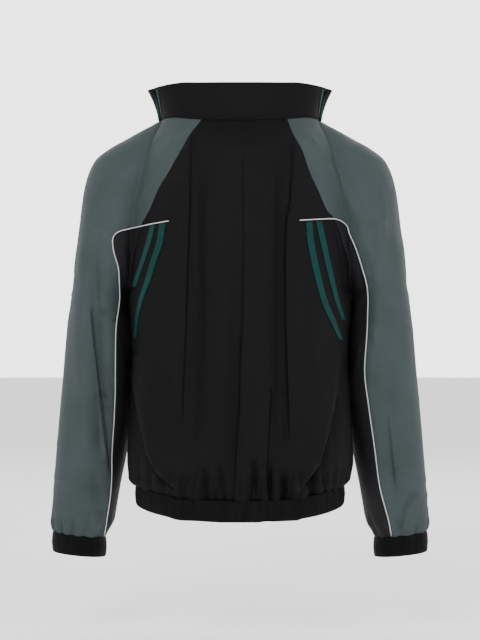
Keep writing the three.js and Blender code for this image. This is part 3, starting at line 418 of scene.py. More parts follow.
def joined_depth(face, place, z):
    """One face of the whole jacket above the armpits: body and sleeves softly joined."""
    sign = -1.0 if face == "back" else 1.0
    middle = (arm["outer"](z) + arm["inner"](z)) / 2
    half = (arm["outer"](z) - arm["inner"](z)) / 2
    body = section_depth(place / torso["half_width"](z), torso[face](z), TORSO_ROUNDNESS)
    sleeve = section_depth((place - middle) / half, arm["depth"](z), 2.0) + sign * arm["middle"](z)
    return sign * soft_max(body, sleeve, arm["blend"](z))


class Outline:
    """Points round level sections, one section in each row, with the distance walked to each point."""

    def __init__(self, x, y, split, closed):
        self.x, self.y = x, y
        self.split, self.closed = split, closed
        steps = np.hypot(np.diff(x, axis=1), np.diff(y, axis=1))
        self.walked = np.concatenate([np.zeros((len(x), 1)), np.cumsum(steps, axis=1)], axis=1)
        self.length = self.walked[:, -1]

    def rows(self, index):
        picked = object.__new__(Outline)
        picked.x, picked.y = self.x[index], self.y[index]
        picked.split, picked.closed = self.split, self.closed
        picked.walked, picked.length = self.walked[index], self.length[index]
        return picked

    def place(self, distance):
        at = np.mod(distance, self.length) if self.closed else np.clip(distance, 0, self.length)
        row = np.arange(len(self.x))
        i = np.clip((self.walked < at[:, None]).sum(axis=1) - 1, 0, self.x.shape[1] - 2)
        span = self.walked[row, i + 1] - self.walked[row, i]
        t = (at - self.walked[row, i]) / np.where(span > 0, span, 1.0)
        x = self.x[row, i] + (self.x[row, i + 1] - self.x[row, i]) * t
        y = self.y[row, i] + (self.y[row, i + 1] - self.y[row, i]) * t
        return x, y

    def distance_to(self, face, wanted):
        part = slice(0, self.split) if face == "back" else slice(self.split, None)
        x, walked = self.x[:, part], self.walked[:, part]
        gap = x - wanted[:, None]
        crossing = gap[:, :-1] * gap[:, 1:] <= 0
        row = np.arange(len(x))
        i = crossing.argmax(axis=1)
        span = gap[row, i] - gap[row, i + 1]
        t = gap[row, i] / np.where(span != 0, span, 1.0)
        found = walked[row, i] + (walked[row, i + 1] - walked[row, i]) * t
        return np.where(crossing.any(axis=1), found, walked[row, np.abs(gap).argmin(axis=1)])


def lift_by_folds(side, x, y, z, split):
    """Moves the outline's points out by the height of the folds. Points are in the right-hand frame."""
    dx = np.concatenate([x[:, 1:2] - x[:, :1], x[:, 2:] - x[:, :-2], x[:, -1:] - x[:, -2:-1]], axis=1)
    dy = np.concatenate([y[:, 1:2] - y[:, :1], y[:, 2:] - y[:, :-2], y[:, -1:] - y[:, -2:-1]], axis=1)
    run = np.maximum(np.hypot(dx, dy), 1e-6)
    height = np.concatenate([
        fold_height("back", SIDES[side] * x[:, :split], z[:, None]),
        fold_height("front", SIDES[side] * x[:, split:], z[:, None]),
    ], axis=1)
    return x + dy * height / run, y - dx * height / run


def half_outline(side, z):
    """Half the jacket at each level, from the middle of the back round to the middle of the front."""
    angle = np.linspace(0, math.pi / 2, OUTLINE_STEPS + 1)[None]
    level = z[:, None]
    joined = level > ARMPIT_Z
    width = np.where(joined, arm["outer"](level), torso["half_width"](level))
    place = np.sin(angle)
    parts_x, parts_y = [], []
    for face, flip in (("back", -1.0), ("front", 1.0)):
        x = width * place
        alone = flip * section_depth(place, torso[face](level), TORSO_ROUNDNESS)
        y = np.where(joined, joined_depth(face, x, level), alone)
        parts_x.append(x if face == "back" else x[:, ::-1])
        parts_y.append(y if face == "back" else y[:, ::-1])
    x, y = np.concatenate(parts_x, axis=1), np.concatenate(parts_y, axis=1)
    split = OUTLINE_STEPS + 1
    return Outline(*lift_by_folds(side, x, y, z, split), split, False)


def body_side(y, z):
    depth = np.where(y < 0, torso["back"](z), torso["front"](z))
    return section_depth(y / depth, torso["half_width"](z), TORSO_ROUNDNESS)


def sleeve_outline(side, z):
    """One sleeve at each level below the armpit, from its inner side round the back and the front."""
    level = z[:, None]
    angle = np.linspace(0, 2 * math.pi, 2 * OUTLINE_STEPS + 1)[None]
    middle = (arm["outer"](level) + arm["inner"](level)) / 2
    half = (arm["outer"](level) - arm["inner"](level)) / 2
    y = arm["middle"](level) - arm["depth"](level) * np.sin(angle)
    pressed = smooth_step(ARMPIT_Z, ARMPIT_Z - 25, level)
    free = smooth_step(SLEEVE_FREE_Z, SLEEVE_FREE_Z - 65, level)
    clearance = 0.3 - 1.8 * pressed + 4.6 * free
    x = soft_max(middle - half * np.cos(angle), body_side(y, level) + clearance, 3.0)
    return Outline(*lift_by_folds(side, x, y, z, OUTLINE_STEPS), OUTLINE_STEPS, True)


known_outlines = {}


def outline_at(outline_of, side, z):
    key = (outline_of.__name__, side, z.tobytes())
    if key not in known_outlines:
        heights, index = np.unique(z, return_inverse=True)
        known_outlines[key] = outline_of(side, heights).rows(index)
    return known_outlines[key]


# Seams as distances along the outlines
def on_half(face, x_of):
    return lambda side, z: outline_at(half_outline, side, z).distance_to(face, x_of(side, z))


def on_sleeve(face, x_of):
    return lambda side, z: outline_at(sleeve_outline, side, z).distance_to(face, x_of(side, z))


def side_seam(side, z):
    outline = outline_at(half_outline, side, z)
    i = (outline.y > ARMPIT_Y).argmax(axis=1)
    row = np.arange(len(i))
    low = outline.y[row, i - 1]
    t = (ARMPIT_Y - low) / (outline.y[row, i] - low)
    return outline.walked[row, i - 1] + (outline.walked[row, i] - outline.walked[row, i - 1]) * t


def middle_line(side, z):
    return np.zeros(len(z))


raglan = on_half("back", lambda side, z: raglan_x[side](z))
raglan_front = on_half("front", lambda side, z: raglan_x["front"](z))
zip_line = on_half("front", lambda side, z: zip_x(z))
piping_line = on_half("back", lambda side, z: sleeve_x[side](z))
piping_front = on_half("front", lambda side, z: sleeve_x["front"](z))
piping_below = on_sleeve("back", lambda side, z: sleeve_x[side](z))
piping_front_below = on_sleeve("front", lambda side, z: sleeve_x["front"](z))


def armpit_line(side, z):
    return outline_at(sleeve_outline, side, z).length + ARMPIT_RUN


def piping_wrap(side, z):
    return outline_at(sleeve_outline, side, z).length + piping_below(side, z)


# Gathers above the elastic: uneven waves that fade out at different heights
def gather_wave(distance, pitch, seed):
    """Round pillows between sharp valleys, uneven in width and height."""
    drift = 0.24 * np.sin(distance / (pitch * 1.7) + seed)
    drift = drift + 0.15 * np.sin(distance / (pitch * 0.9) + 2 * seed)
    size = 0.7 + 0.3 * np.sin(distance / (pitch * 2.3) + 3 * seed)
    turn = math.pi * (distance / pitch + drift)
    return size * (2 * np.abs(np.sin(turn)) ** 0.9 - 1.2)


def gather_reach(share, distance, pitch, seed):
    start = 0.16 + 0.16 * np.sin(distance / (pitch * 0.55) + seed)
    start = start + 0.1 * np.sin(distance / (pitch * 1.9) + 4 * seed)
    return gather_depth(np.clip((share - start) / (1 - start), 0, 1))


HEM_PITCH = 23.0
HEM_GATHER_SIZE = 4.6
CUFF_GATHER_SIZE = 3.6


def hem_swell(side, z, distance, start, end):
    share = (HEM_GATHER_TOP_Z + 14 - z) / (HEM_GATHER_TOP_Z + 14 - HEM_SEAM_Z + 10)
    signed = SIDES[side] * distance
    edge = smooth_step(0, 5, end - distance)
    wave = gather_wave(signed, HEM_PITCH, 2.0) * gather_reach(np.clip(share, 0, 1), signed, HEM_PITCH, 2.0)
    return HEM_GATHER_SIZE * np.where(share > 0, wave, 0.0) * edge


def cuff_swell(side, z, distance, start, end):
    share = (CUFF_GATHER_TOP_Z + 16 - z) / (CUFF_GATHER_TOP_Z + 16 - CUFF_SEAM_Z + 2)
    length = outline_at(sleeve_outline, side, z).length
    pitch = length / 11
    wrapped = np.mod(distance, length)
    join = smooth_step(0, pitch / 2, wrapped) * smooth_step(length, length - pitch / 2, wrapped)
    wave = gather_wave(wrapped, pitch, SIDES[side] + 5)
    wave = wave * gather_reach(np.clip(share, 0, 1), wrapped, pitch, 1.0)
    return CUFF_GATHER_SIZE * np.where(share > 0, wave, 0.0) * join


def seam_lift(z, gap, along):
    """Cloth dips into a seam and puckers a little beside it. gap is the distance to the seam."""
    dip = -0.85 * np.exp(-((gap / 2.0) ** 2))
    pucker = 0.32 * np.exp(-gap / 8.0) * np.sin(2 * math.pi * along / 8.7 + 1.6 * np.sin(along / 23.0))
    return dip + pucker


def soft_ripple(x, z):
    """Very shallow unevenness that all hanging cloth has."""
    return (
        0.35 * np.sin(x / 17.0 + 1.3 * np.sin(z / 61.0)) * np.sin(z / 47.0 + 0.8 * np.sin(x / 29.0))
        + 0.2 * np.sin(x / 7.3 + 2.1 * np.sin(z / 33.0) + 1.0) * np.sin(z / 71.0 + x / 41.0)
    )


class Row:
    """A row of cloth: points, the way each faces and its place on the flat cloth.

    on_back says which points are on the back, and calm fades the creases where the sleeve rests on the body.
    """

    def __init__(self, points, normals, flat, on_back=None, calm=1.0):
        self.points, self.normals, self.flat = points, normals, flat
        self.on_back, self.calm = on_back, calm


def add_creases(side, row):
    x, z = row.points[:, 0], row.points[:, 2]
    height = np.where(row.on_back, crease_height(side, "back", x, z), crease_height(side, "front", x, z))
    row.points = row.points + row.normals * (height * row.calm)[:, None]
    return row


def smooth_row(outline_of, side, z, distance, swell=0.0):
    """A row without its creases."""
    sign = SIDES[side]
    outline = outline_at(outline_of, side, z)
    x, y = outline.place(distance)
    ax, ay = outline.place(distance - 2)
    bx, by = outline.place(distance + 2)
    run = np.maximum(np.hypot(bx - ax, by - ay), 1e-6)
    nx, ny = (by - ay) / run, -(bx - ax) / run
    if not outline.closed:
        at_middle = distance < 0.01
        nx, ny = np.where(at_middle, 0.0, nx), np.where(at_middle, -1.0, ny)
    wrapped = np.mod(distance, outline.length) if outline.closed else distance
    turn = outline.walked[:, outline.split - 1]
    on_back = wrapped < turn
    touching = np.minimum(wrapped, outline.length - wrapped) if outline.closed else np.abs(wrapped - turn)
    calm = np.maximum(smooth_step(6, 26, touching), smooth_step(JOINED_END_Z, JOINED_END_Z + 20, z))
    calm = np.maximum(calm, smooth_step(SLEEVE_FREE_Z, SLEEVE_FREE_Z - 55, z))
    points = np.stack([sign * (x + nx * swell), y + ny * swell, z], axis=1)
    normals = np.stack([sign * nx, ny, np.zeros(len(z))], axis=1)
    return Row(points, normals, np.stack([sign * distance / 1000, z / 1000], axis=1), on_back, calm)


def cloth_row(outline_of, side, z, distance, swell=0.0):
    return add_creases(side, smooth_row(outline_of, side, z, distance, swell))


def across_shares(count, fine_start=True, fine_end=True):
    """Shares across a panel, closer together beside its seams."""
    inner = list(np.linspace(0, 1, count + 1))
    start = [0.004, 0.010] if fine_start else []
    end = [0.990, 0.996] if fine_end else []
    return np.array(sorted(set(inner + start + end)))


def even_places(width, across):
    """Distances across a panel. The half at its straight edge is spaced alike in all wide rows."""
    even = np.minimum(width, EVEN_WIDTH)
    return np.where(across < 0.5, across * even, 0.5 * even + (2 * across - 1) * (width - 0.5 * even))


def panel_places(side, z, across, start, end):
    """The two edges of a panel and the places across it, as distances along the outline."""
    first, last = start(side, z), end(side, z)
    distance = first + (last - first) * across
    if start is middle_line:
        distance = even_places(last - first, across)
    if end is zip_line:
        distance = last - even_places(last - first, 1 - across)
    return first, last, distance


def panel_row(outline_of, swell_of, side, z, across, start, end, seams=(True, True), creased=True):
    """A row of a panel. On the flat cloth it is measured from the middle of the piece, or of the back."""
    first, last, distance = panel_places(side, z, across, start, end)
    ripple = soft_ripple(distance, z) * smooth_step(0, 12, last - first)
    lift = swell_of(side, z, distance, first, last) + ripple
    if seams[0]:
        lift = lift + seam_lift(z, distance - first, z)
    if seams[1]:
        lift = lift + seam_lift(z, last - distance, z + 3)
    row = smooth_row(outline_of, side, z, distance, lift)
    if start is not middle_line:
        row.flat[:, 0] -= SIDES[side] * (first + last) / 2000
    if creased:
        add_creases(side, row)
    return row


def blend_rows(side, top, low, count):
    """Rows between two rows that aren't creased yet."""
    rows = []
    for t in np.linspace(0, 1, count + 1)[1:-1]:
        s = t * t * (3 - 2 * t)
        flat = top.flat + (low.flat - top.flat) * t
        points = top.points + (low.points - top.points) * s
        points[:, 2] = top.points[:, 2] + (low.points[:, 2] - top.points[:, 2]) * t
        calm = top.calm + (low.calm - top.calm) * s
        rows.append(Row(points, top.normals + (low.normals - top.normals) * s, flat, top.on_back, calm))
    return [add_creases(side, row) for row in rows]


def neck_z(side, start, end, across):
    level = np.array([NECK_LEVEL])
    first, last = start(side, level)[0], end(side, level)[0]
    return neck_along(first + (last - first) * across)


def hem_z(side, share):
    outline = outline_at(half_outline, side, np.full(len(share), HEM_SEAM_Z))
    y = outline.place(outline.length * share)[1]
    return HEM_SEAM_Z - HEM_DROP * np.minimum(1, (y / 121) ** 2)


def cuff_z(x):
    return CUFF_SEAM_Z - (306 - np.abs(x)) * 0.1


def levels(top, bottom, step):
    count = max(2, int(round(abs(top - bottom) / step)))
    return np.linspace(top, bottom, count + 1)


def neck_rows(side, across, edges, seams):
    """Rows that turn from the neck's curved edge to level ones."""
    top = neck_z(side, edges[0], edges[1], across)
    rows = []
    for share in [0, 0.03, 0.08] + list(np.linspace(0.14, 1, 13)):
        z = top + (NECK_ROWS_END_Z - top) * share
        row = panel_row(half_outline, hem_swell, side, z, across, *edges, seams)
        row.points += row.normals * seam_lift(z, top - z, row.flat[:, 0] * 1000)[:, None]
        rows.append(row)
    return rows


def tucked_row(outline_of, side, level, across, edges, bottom):
    """The seam allowance, tucked behind an elastic band."""
    distance = panel_places(side, level, across, *edges)[2]
    row = smooth_row(outline_of, side, level, distance, -TUCK_DEPTH)
    row.points[:, 2] = bottom - TUCK_LENGTH
    row.flat[:, 1] = (bottom - TUCK_LENGTH) / 1000
    return row


def hem_rows(side, across, edges, seams):
    level = np.full(len(across), HEM_SEAM_Z)
    distance = panel_places(side, level, across, *edges)[2]
    bottom = hem_z(side, distance / outline_at(half_outline, side, level).length)
    rows = []
    for share in list(np.linspace(0, 0.94, 17))[1:] + [0.975, 1.0]:
        z = HEM_GATHER_TOP_Z + (bottom - HEM_GATHER_TOP_Z) * share
        row = panel_row(half_outline, hem_swell, side, z, across, *edges, seams)
        row.points += row.normals * (-2.4 * np.exp(-(((z - bottom) / 3.2) ** 2)))[:, None]
        rows.append(row)
    level = np.full(len(across), HEM_BAND_LEVEL)
    return rows + [tucked_row(half_outline, side, level, across, edges, bottom)]


def body_row(side, z, across, edges, seams, creased=True):
    """A level row of a panel, on the outline of half the jacket."""
    level = np.full(len(across), z)
    return panel_row(half_outline, hem_swell, side, level, across, *edges, seams, creased)


def body_half(side, across, top, below, seams):
    """Rows of the back's or the front's half, between its edges above the armpit and its edges below."""
    def row_at(z, edges, creased=True):
        return body_row(side, z, across, edges, seams, creased)

    rows = neck_rows(side, across, top, seams)
    rows += [row_at(z, top) for z in levels(NECK_ROWS_END_Z, JOINED_END_Z, ROW_STEP)[1:]]
    rows += blend_rows(side, row_at(JOINED_END_Z, top, False), row_at(ARMPIT_Z, below, False), 6)
    rows += [row_at(z, below) for z in levels(ARMPIT_Z, HEM_GATHER_TOP_Z, ROW_STEP)]
    return rows + hem_rows(side, across, below, seams)


def sleeve_rows(side, across, start, end, seams, joined):
    """Rows down a sleeve, from under a row that is joined with the body, to the cuff."""
    def row_at(z, creased=True):
        return panel_row(sleeve_outline, cuff_swell, side, z, across, start, end, seams, creased)

    rows = blend_rows(side, joined, row_at(np.full(len(across), ARMPIT_Z), False), 6)
    rows += [row_at(np.full(len(across), z)) for z in levels(ARMPIT_Z, CUFF_GATHER_TOP_Z, ROW_STEP)]
    level = np.full(len(across), CUFF_SEAM_Z)
    first, last = start(side, level), end(side, level)
    x = outline_at(sleeve_outline, side, level).place(first + (last - first) * across)[0]
    bottom = cuff_z(x)
    for share in list(np.linspace(0, 0.92, 12))[1:] + [0.965, 1.0]:
        z = CUFF_GATHER_TOP_Z + (bottom - CUFF_GATHER_TOP_Z) * share
        row = row_at(z)
        row.points += row.normals * (-2.0 * np.exp(-(((z - bottom) / 2.8) ** 2)))[:, None]
        rows.append(row)
    level = np.full(len(across), CUFF_LEVEL)
    return rows + [tucked_row(sleeve_outline, side, level, across, (start, end), bottom)]


# Meshes
def grid_mesh(name, grids, flip=False, wrap=False):
    """One mesh from grids of rows. Faces point out where rows run down and their points to the right."""
    corners, flats, faces = [], [], []
    offset = 0
    for rows in grids:
        points = np.stack([row.points for row in rows]) / 1000
        flat = np.stack([row.flat for row in rows])
        height, width = points.shape[:2]
        index = np.arange(height * width).reshape(height, width) + offset
        a, b = index[:-1, :-1].ravel(), index[1:, :-1].ravel()
        c, d = index[1:, 1:].ravel(), index[:-1, 1:].ravel()
        faces.append(np.stack([a, d, c, b] if flip else [a, b, c, d], axis=1))
        corners.append(points.reshape(-1, 3))
        flats.append(flat.reshape(-1, 2))
        offset += height * width
    corners, flats, faces = np.concatenate(corners), np.concatenate(flats), np.concatenate(faces)
    mesh = bpy.data.meshes.new(name)
    mesh.from_pydata(corners.tolist(), [], faces.tolist())
    layer = mesh.uv_layers.new(name="Cloth")
    layer.data.foreach_set("uv", flats[faces.ravel()].ravel())
    shape = bmesh.new()
    shape.from_mesh(mesh)
    bmesh.ops.remove_doubles(shape, verts=shape.verts, dist=2e-5)
    bmesh.ops.dissolve_degenerate(shape, edges=shape.edges, dist=1e-6)
    shape.to_mesh(mesh)
    shape.free()
    mesh.polygons.foreach_set("use_smooth", [True] * len(mesh.polygons))
    mesh.update()
    return mesh


def add_object(name, mesh, material, nodes=()):
    piece = bpy.data.objects.new(name, mesh)
    bpy.context.scene.collection.objects.link(piece)
    mesh.materials.clear()
    mesh.materials.append(material)
    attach(piece, "jacket")
    if nodes:
        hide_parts(*nodes)
    return piece


def half_wall(thickness):
    """Half a wall's thickness, from metres to millimetres."""
    return thickness * 500


def add_wall(piece, thickness):
    wall = piece.modifiers.new("Wall", "SOLIDIFY")
    wall.thickness = thickness
    wall.offset = 0.0


def add_cloth(name, grids, finish, thickness, flip=False):
    """Adds a piece of cloth in place of its CAD node, with its wall and its place on the flat cloth."""
    node = name.rsplit("_", 1)[0]
    piece = add_object(name, grid_mesh(name, grids, flip), material(finish), [node])
    add_wall(piece, thickness)
    return piece


def add_tape(node, rows, flip, lift, thickness):
    """Adds a green tape in place of its CAD node, lifted off the cloth that it lies on."""
    for row in rows:
        row.points = row.points + row.normals * lift
    mesh = grid_mesh(node, [rows], flip)
    piece = add_object(node + "_tape", mesh, material("green_tape"), [node])
    add_wall(piece, thickness)
    return piece


def both_halves(make):
    """Rows of the left half, turned round, then of the right half, sharing the middle column."""
    def join(left, right):
        return np.concatenate([left[::-1], right[1:]])

    return [
        Row(join(a.points, b.points), join(a.normals, b.normals), join(a.flat, b.flat))
        for a, b in zip(make("left"), make("right"))
    ]


# Materials
class Finish:
    """A material built up node by node."""

    def __init__(self, name):
        self.material = bpy.data.materials.new(name)
        self.material.use_nodes = True
        self.tree = self.material.node_tree
        self.shader = self.tree.nodes["Principled BSDF"]

    def add(self, kind, inputs=None, **settings):
        node = self.tree.nodes.new(kind)
        for key, value in settings.items():
            setattr(node, key, value)
        for key, value in (inputs or {}).items():
            if isinstance(value, bpy.types.NodeSocket):
                self.tree.links.new(value, node.inputs[key])
            else:
                node.inputs[key].default_value = value
        return node

    def math(self, operation, a, b=0.0):
        return self.add("ShaderNodeMath", {0: a, 1: b}, operation=operation).outputs[0]

    def flat_place(self, scale=(1.0, 1.0, 1.0)):
        """The place on the flat cloth, in metres times scale."""
        flat = self.add("ShaderNodeUVMap", uv_map="Cloth").outputs[0]
        return self.add("ShaderNodeMapping", {"Vector": flat, "Scale": scale}).outputs[0]

    def object_place(self, scale=(1.0, 1.0, 1.0)):
        place = self.add("ShaderNodeTexCoord").outputs["Object"]
        return self.add("ShaderNodeMapping", {"Vector": place, "Scale": scale}).outputs[0]

    def noise(self, place, scale, detail=2.0, roughness=0.5):
        return self.add(
            "ShaderNodeTexNoise", {"Vector": place, "Scale": scale, "Detail": detail, "Roughness": roughness}
        ).outputs["Fac"]

    def spread(self, value, low, high, to_low, to_high):
        return self.add(
            "ShaderNodeMapRange",
            {"Value": value, "From Min": low, "From Max": high, "To Min": to_low, "To Max": to_high},
        ).outputs[0]

    def shade(self, factor, colour, start, end):
        """Between two tones of a colour."""
        return self.mix(factor, tone(colour, start), tone(colour, end))

    def mix(self, factor, a, b):
        node = self.add("ShaderNodeMix", data_type="RGBA")
        for socket, value in ((node.inputs["Factor"], factor), (node.inputs[6], a), (node.inputs[7], b)):
            if isinstance(value, bpy.types.NodeSocket):
                self.tree.links.new(value, socket)
            else:
                socket.default_value = value
        return node.outputs[2]

    def bump(self, height, distance, strength, below=None):
        inputs = {"Height": height, "Distance": distance, "Strength": strength}
        if below is not None:
            inputs["Normal"] = below
        return self.add("ShaderNodeBump", inputs).outputs[0]

    def waves(self, place, axis, pitch):
        """Even ribs along one axis of the flat cloth, from -1 to 1. pitch is in metres."""
        value = self.add("ShaderNodeSeparateXYZ", {"Vector": place}).outputs[axis]
        return self.math("SINE", self.math("MULTIPLY", value, 2 * math.pi / pitch))

    def link(self, output, socket):
        self.tree.links.new(output, self.shader.inputs[socket])

    def set(self, **values):
        for key, value in values.items():
            self.shader.inputs[key.replace("_", " ")].default_value = value


def tone(colour, amount):
    return (*[min(1.0, c * amount) for c in colour[:3]], 1.0)


WEAVE_PITCH = 0.00055


def woven_cloth(name, colour, roughness, specular, crinkle):
    """Smooth woven sports cloth: a fine plain weave, shallow crinkles and slightly uneven colour."""
    finish = Finish(name)
    flat = finish.flat_place()
    long = finish.flat_place((1.0, 0.32, 1.0))
    wear = finish.noise(flat, 14.0, 3.0)
    fleck = finish.noise(flat, 900.0, 1.0)
    shade = finish.shade(finish.spread(wear, 0.3, 0.7, 0.0, 1.0), colour, 0.86, 1.12)
    flecks = finish.spread(fleck, 0.35, 0.65, 0.0, 0.3)
    finish.link(finish.mix(flecks, shade, tone(colour, 1.45)), "Base Color")
    finish.link(finish.spread(wear, 0.25, 0.75, roughness - 0.06, roughness + 0.06), "Roughness")
    soft = finish.bump(finish.noise(long, 26.0, 3.0, 0.55), 0.004, crinkle)
    fine = finish.bump(finish.noise(flat, 150.0, 2.0), 0.0006, crinkle * 0.8, soft)
    threads = finish.math("MULTIPLY", finish.waves(flat, 0, WEAVE_PITCH), finish.waves(flat, 1, WEAVE_PITCH))
    finish.link(finish.bump(threads, 0.00012, 0.35, fine), "Normal")
    finish.set(Specular_IOR_Level=specular)
    return finish.material


def elastic_rib(name, colour, pitch):
    """Gathered elastic: fine upright ribs, matte, with painted shade between the ribs and painted light on
    their tops.
    """
    finish = Finish(name)
    flat = finish.flat_place()
    uneven = finish.noise(finish.flat_place((1.0, 0.1, 1.0)), 120.0, 2.0)
    ribs = finish.waves(flat, 0, pitch)
    ridge = finish.spread(ribs, -1.0, 1.0, 0.0, 1.0)
    # Painted shade in the grooves and painted light on the ribs, following the same rib height as the bump
    finish.link(finish.shade(ridge, colour, 0.6, 1.25), "Base Color")
    finish.link(finish.spread(uneven, 0.3, 0.7, 0.62, 0.8), "Roughness")
    wavy = finish.bump(uneven, 0.0025, 0.5)
    ribbed = finish.bump(ridge, 0.0007, 0.6, wavy)
    threads = finish.bump(finish.waves(flat, 1, 0.0011), 0.0002, 0.3, ribbed)
    finish.link(threads, "Normal")
    finish.set(Specular_IOR_Level=0.09)
    return finish.material


def satin_tape(name, colour, roughness=0.42):
    """Satin tape: ribs across it with painted shade in their grooves, and a soft gleam."""
    finish = Finish(name)
    flat = finish.flat_place()
    ribs = finish.waves(flat, 1, 0.0009)
    uneven = finish.noise(flat, 60.0, 2.0)
    shade = finish.shade(finish.spread(uneven, 0.3, 0.7, 0.0, 1.0), colour, 0.85, 1.15)
    # Painted shade: the colour darkens in the rib grooves, where the bump sinks
    painted_groove_shade = finish.spread(ribs, -1.0, 1.0, 0.25, 0.0)
    finish.link(finish.mix(painted_groove_shade, shade, tone(colour, 0.6)), "Base Color")
    finish.link(finish.spread(uneven, 0.3, 0.7, roughness - 0.05, roughness + 0.08), "Roughness")
    soft = finish.bump(uneven, 0.001, 0.3)
    finish.link(finish.bump(ribs, 0.00015, 0.4, soft), "Normal")
    finish.set(Specular_IOR_Level=0.1)
    return finish.material


def twisted_cord(name, colour):
    """Satin-covered piping: a slanting twill round the cord, with painted shade in the twill's grooves."""
    finish = Finish(name)
    flat = finish.flat_place()
    parts = finish.add("ShaderNodeSeparateXYZ", {"Vector": flat})
    around = finish.math("MULTIPLY", parts.outputs[0], 5200.0)
    along = finish.math("MULTIPLY", parts.outputs[1], 3600.0)
    twill = finish.math("SINE", finish.math("ADD", around, along))
    # Painted shade: darker where the twill sinks, following the twill's bump
    finish.link(finish.shade(finish.spread(twill, -1.0, 1.0, 0.3, 0.0), colour, 1.0, 0.7), "Base Color")
    finish.link(finish.spread(finish.noise(flat, 200.0), 0.3, 0.7, 0.38, 0.55), "Roughness")
    finish.link(finish.bump(twill, 0.0001, 0.4), "Normal")
    finish.set(Specular_IOR_Level=0.45, Sheen_Weight=0.2, Sheen_Roughness=0.4)
    return finish.material


def coated_metal(name, colour):
    """Painted zinc, worn a little brighter in spots."""
    finish = Finish(name)
    place = finish.object_place()
    worn = finish.noise(place, 420.0, 4.0)
    spots = finish.spread(worn, 0.6, 0.74, 0.0, 0.6)
    finish.link(finish.mix(spots, tone(colour, 1.0), (0.2, 0.2, 0.21, 1.0)), "Base Color")
    finish.link(finish.spread(worn, 0.3, 0.7, 0.3, 0.5), "Roughness")
    finish.link(finish.bump(finish.noise(place, 900.0, 2.0), 0.0001, 0.25), "Normal")
    finish.set(Metallic=0.85, Specular_IOR_Level=0.5)
    return finish.material


def moulded_teeth(name, colour):
    """Moulded plastic zip teeth."""
    finish = Finish(name)
    place = finish.object_place()
    grain = finish.noise(place, 700.0, 2.0)
    finish.link(finish.shade(finish.spread(grain, 0.3, 0.7, 0.0, 1.0), colour, 0.85, 1.2), "Base Color")
    finish.link(finish.spread(grain, 0.3, 0.7, 0.34, 0.46), "Roughness")
    finish.link(finish.bump(grain, 0.00008, 0.2), "Normal")
    finish.set(Specular_IOR_Level=0.45)
    return finish.material


def pale_floor(name, colour):
    finish = Finish(name)
    place = finish.object_place()
    soft = finish.noise(place, 3.0, 2.0)
    finish.link(finish.shade(finish.spread(soft, 0.3, 0.7, 0.0, 1.0), colour, 0.99, 1.0), "Base Color")
    finish.set(Roughness=0.9, Specular_IOR_Level=0.1)
    return finish.material


made_materials = {}


def material(name):
    """Makes each finish once, from the colours in the panel."""
    if name not in made_materials:
        look = bpy.context.scene.jacket_cloth
        stage = bpy.context.scene.jacket_stage
        makers = {
            "black_cloth": (woven_cloth, "black woven cloth", look.black, 0.66, 0.09, 0.5),
            # The under-sleeves are the body's black cloth made twice as light: painted light against the
            # shade between arm and body
            "under_cloth": (woven_cloth, "black under-sleeve cloth", tone(look.black, 2.0), 0.68, 0.16, 0.5),
            "collar_cloth": (woven_cloth, "black collar cloth", look.black, 0.68, 0.085, 0.3),
            "slate_cloth": (woven_cloth, "slate satin cloth", look.slate, 0.68, 0.13, 0.7),
            "band_cloth": (elastic_rib, "black elastic", look.band, 0.0026),
            "green_tape": (satin_tape, "green tape", look.green),
            "zip_tape": (satin_tape, "black zip tape", look.band, 0.6),
            "piping_cord": (twisted_cord, "pale piping", look.piping),
            "thread": (satin_tape, "black thread", tone(look.black, 1.6), 0.5),
            "zip_metal": (coated_metal, "dark zip metal", look.metal),
            "teeth": (moulded_teeth, "black zip teeth", look.metal),
            "floor": (pale_floor, "pale floor", stage.floor),
        }
        make, *settings = makers[name]
        made_materials[name] = make(*settings)
    return made_materials[name]


# Pieces
def make_back_panel():
    across = across_shares(140, fine_start=False)

    def half(side):
        return body_half(side, across, (middle_line, raglan), (middle_line, side_seam), (False, True))

    thickness = bpy.context.scene.jacket_cloth.cloth_thickness
    grids = [both_halves(half)]
    add_cloth("back_panel_cloth", grids, "black_cloth", thickness)


def make_front(side):
    rows = body_half(side, across_shares(110), (raglan_front, zip_line), (side_seam, zip_line), (True, True))
    name = f"front_{side}_cloth"
    thickness = bpy.context.scene.jacket_cloth.cloth_thickness
    flip = side == "left"
    add_cloth(name, [rows], "black_cloth", thickness, flip)


def make_sleeve(side):
    across = across_shares(132)
    seams = (True, True)
    top, middle = (raglan, raglan_front), (piping_line, piping_front)

    def row_at(z, edges, creased=True):
        return body_row(side, z, across, edges, seams, creased)

    corner = CORNER_Z[side]
    rows = neck_rows(side, across, top, seams)
    rows += [row_at(z, top) for z in levels(NECK_ROWS_END_Z, corner, ROW_STEP)[1:]]
    close_steps = ((corner, corner - 12, 0.6), (corner - 12, corner - 24, 2.0))
    for first, last, step in (*close_steps, (corner - 24, JOINED_END_Z, ROW_STEP)):
        rows += [row_at(z, middle) for z in levels(first, last, step)[1:]]
    joined = row_at(JOINED_END_Z, middle, False)
    rows += sleeve_rows(side, across, piping_below, piping_front_below, seams, joined)
    name = f"sleeve_{side}_cloth"
    thickness = bpy.context.scene.jacket_cloth.cloth_thickness
    flip = side == "left"
    add_cloth(name, [rows], "slate_cloth", thickness, flip)


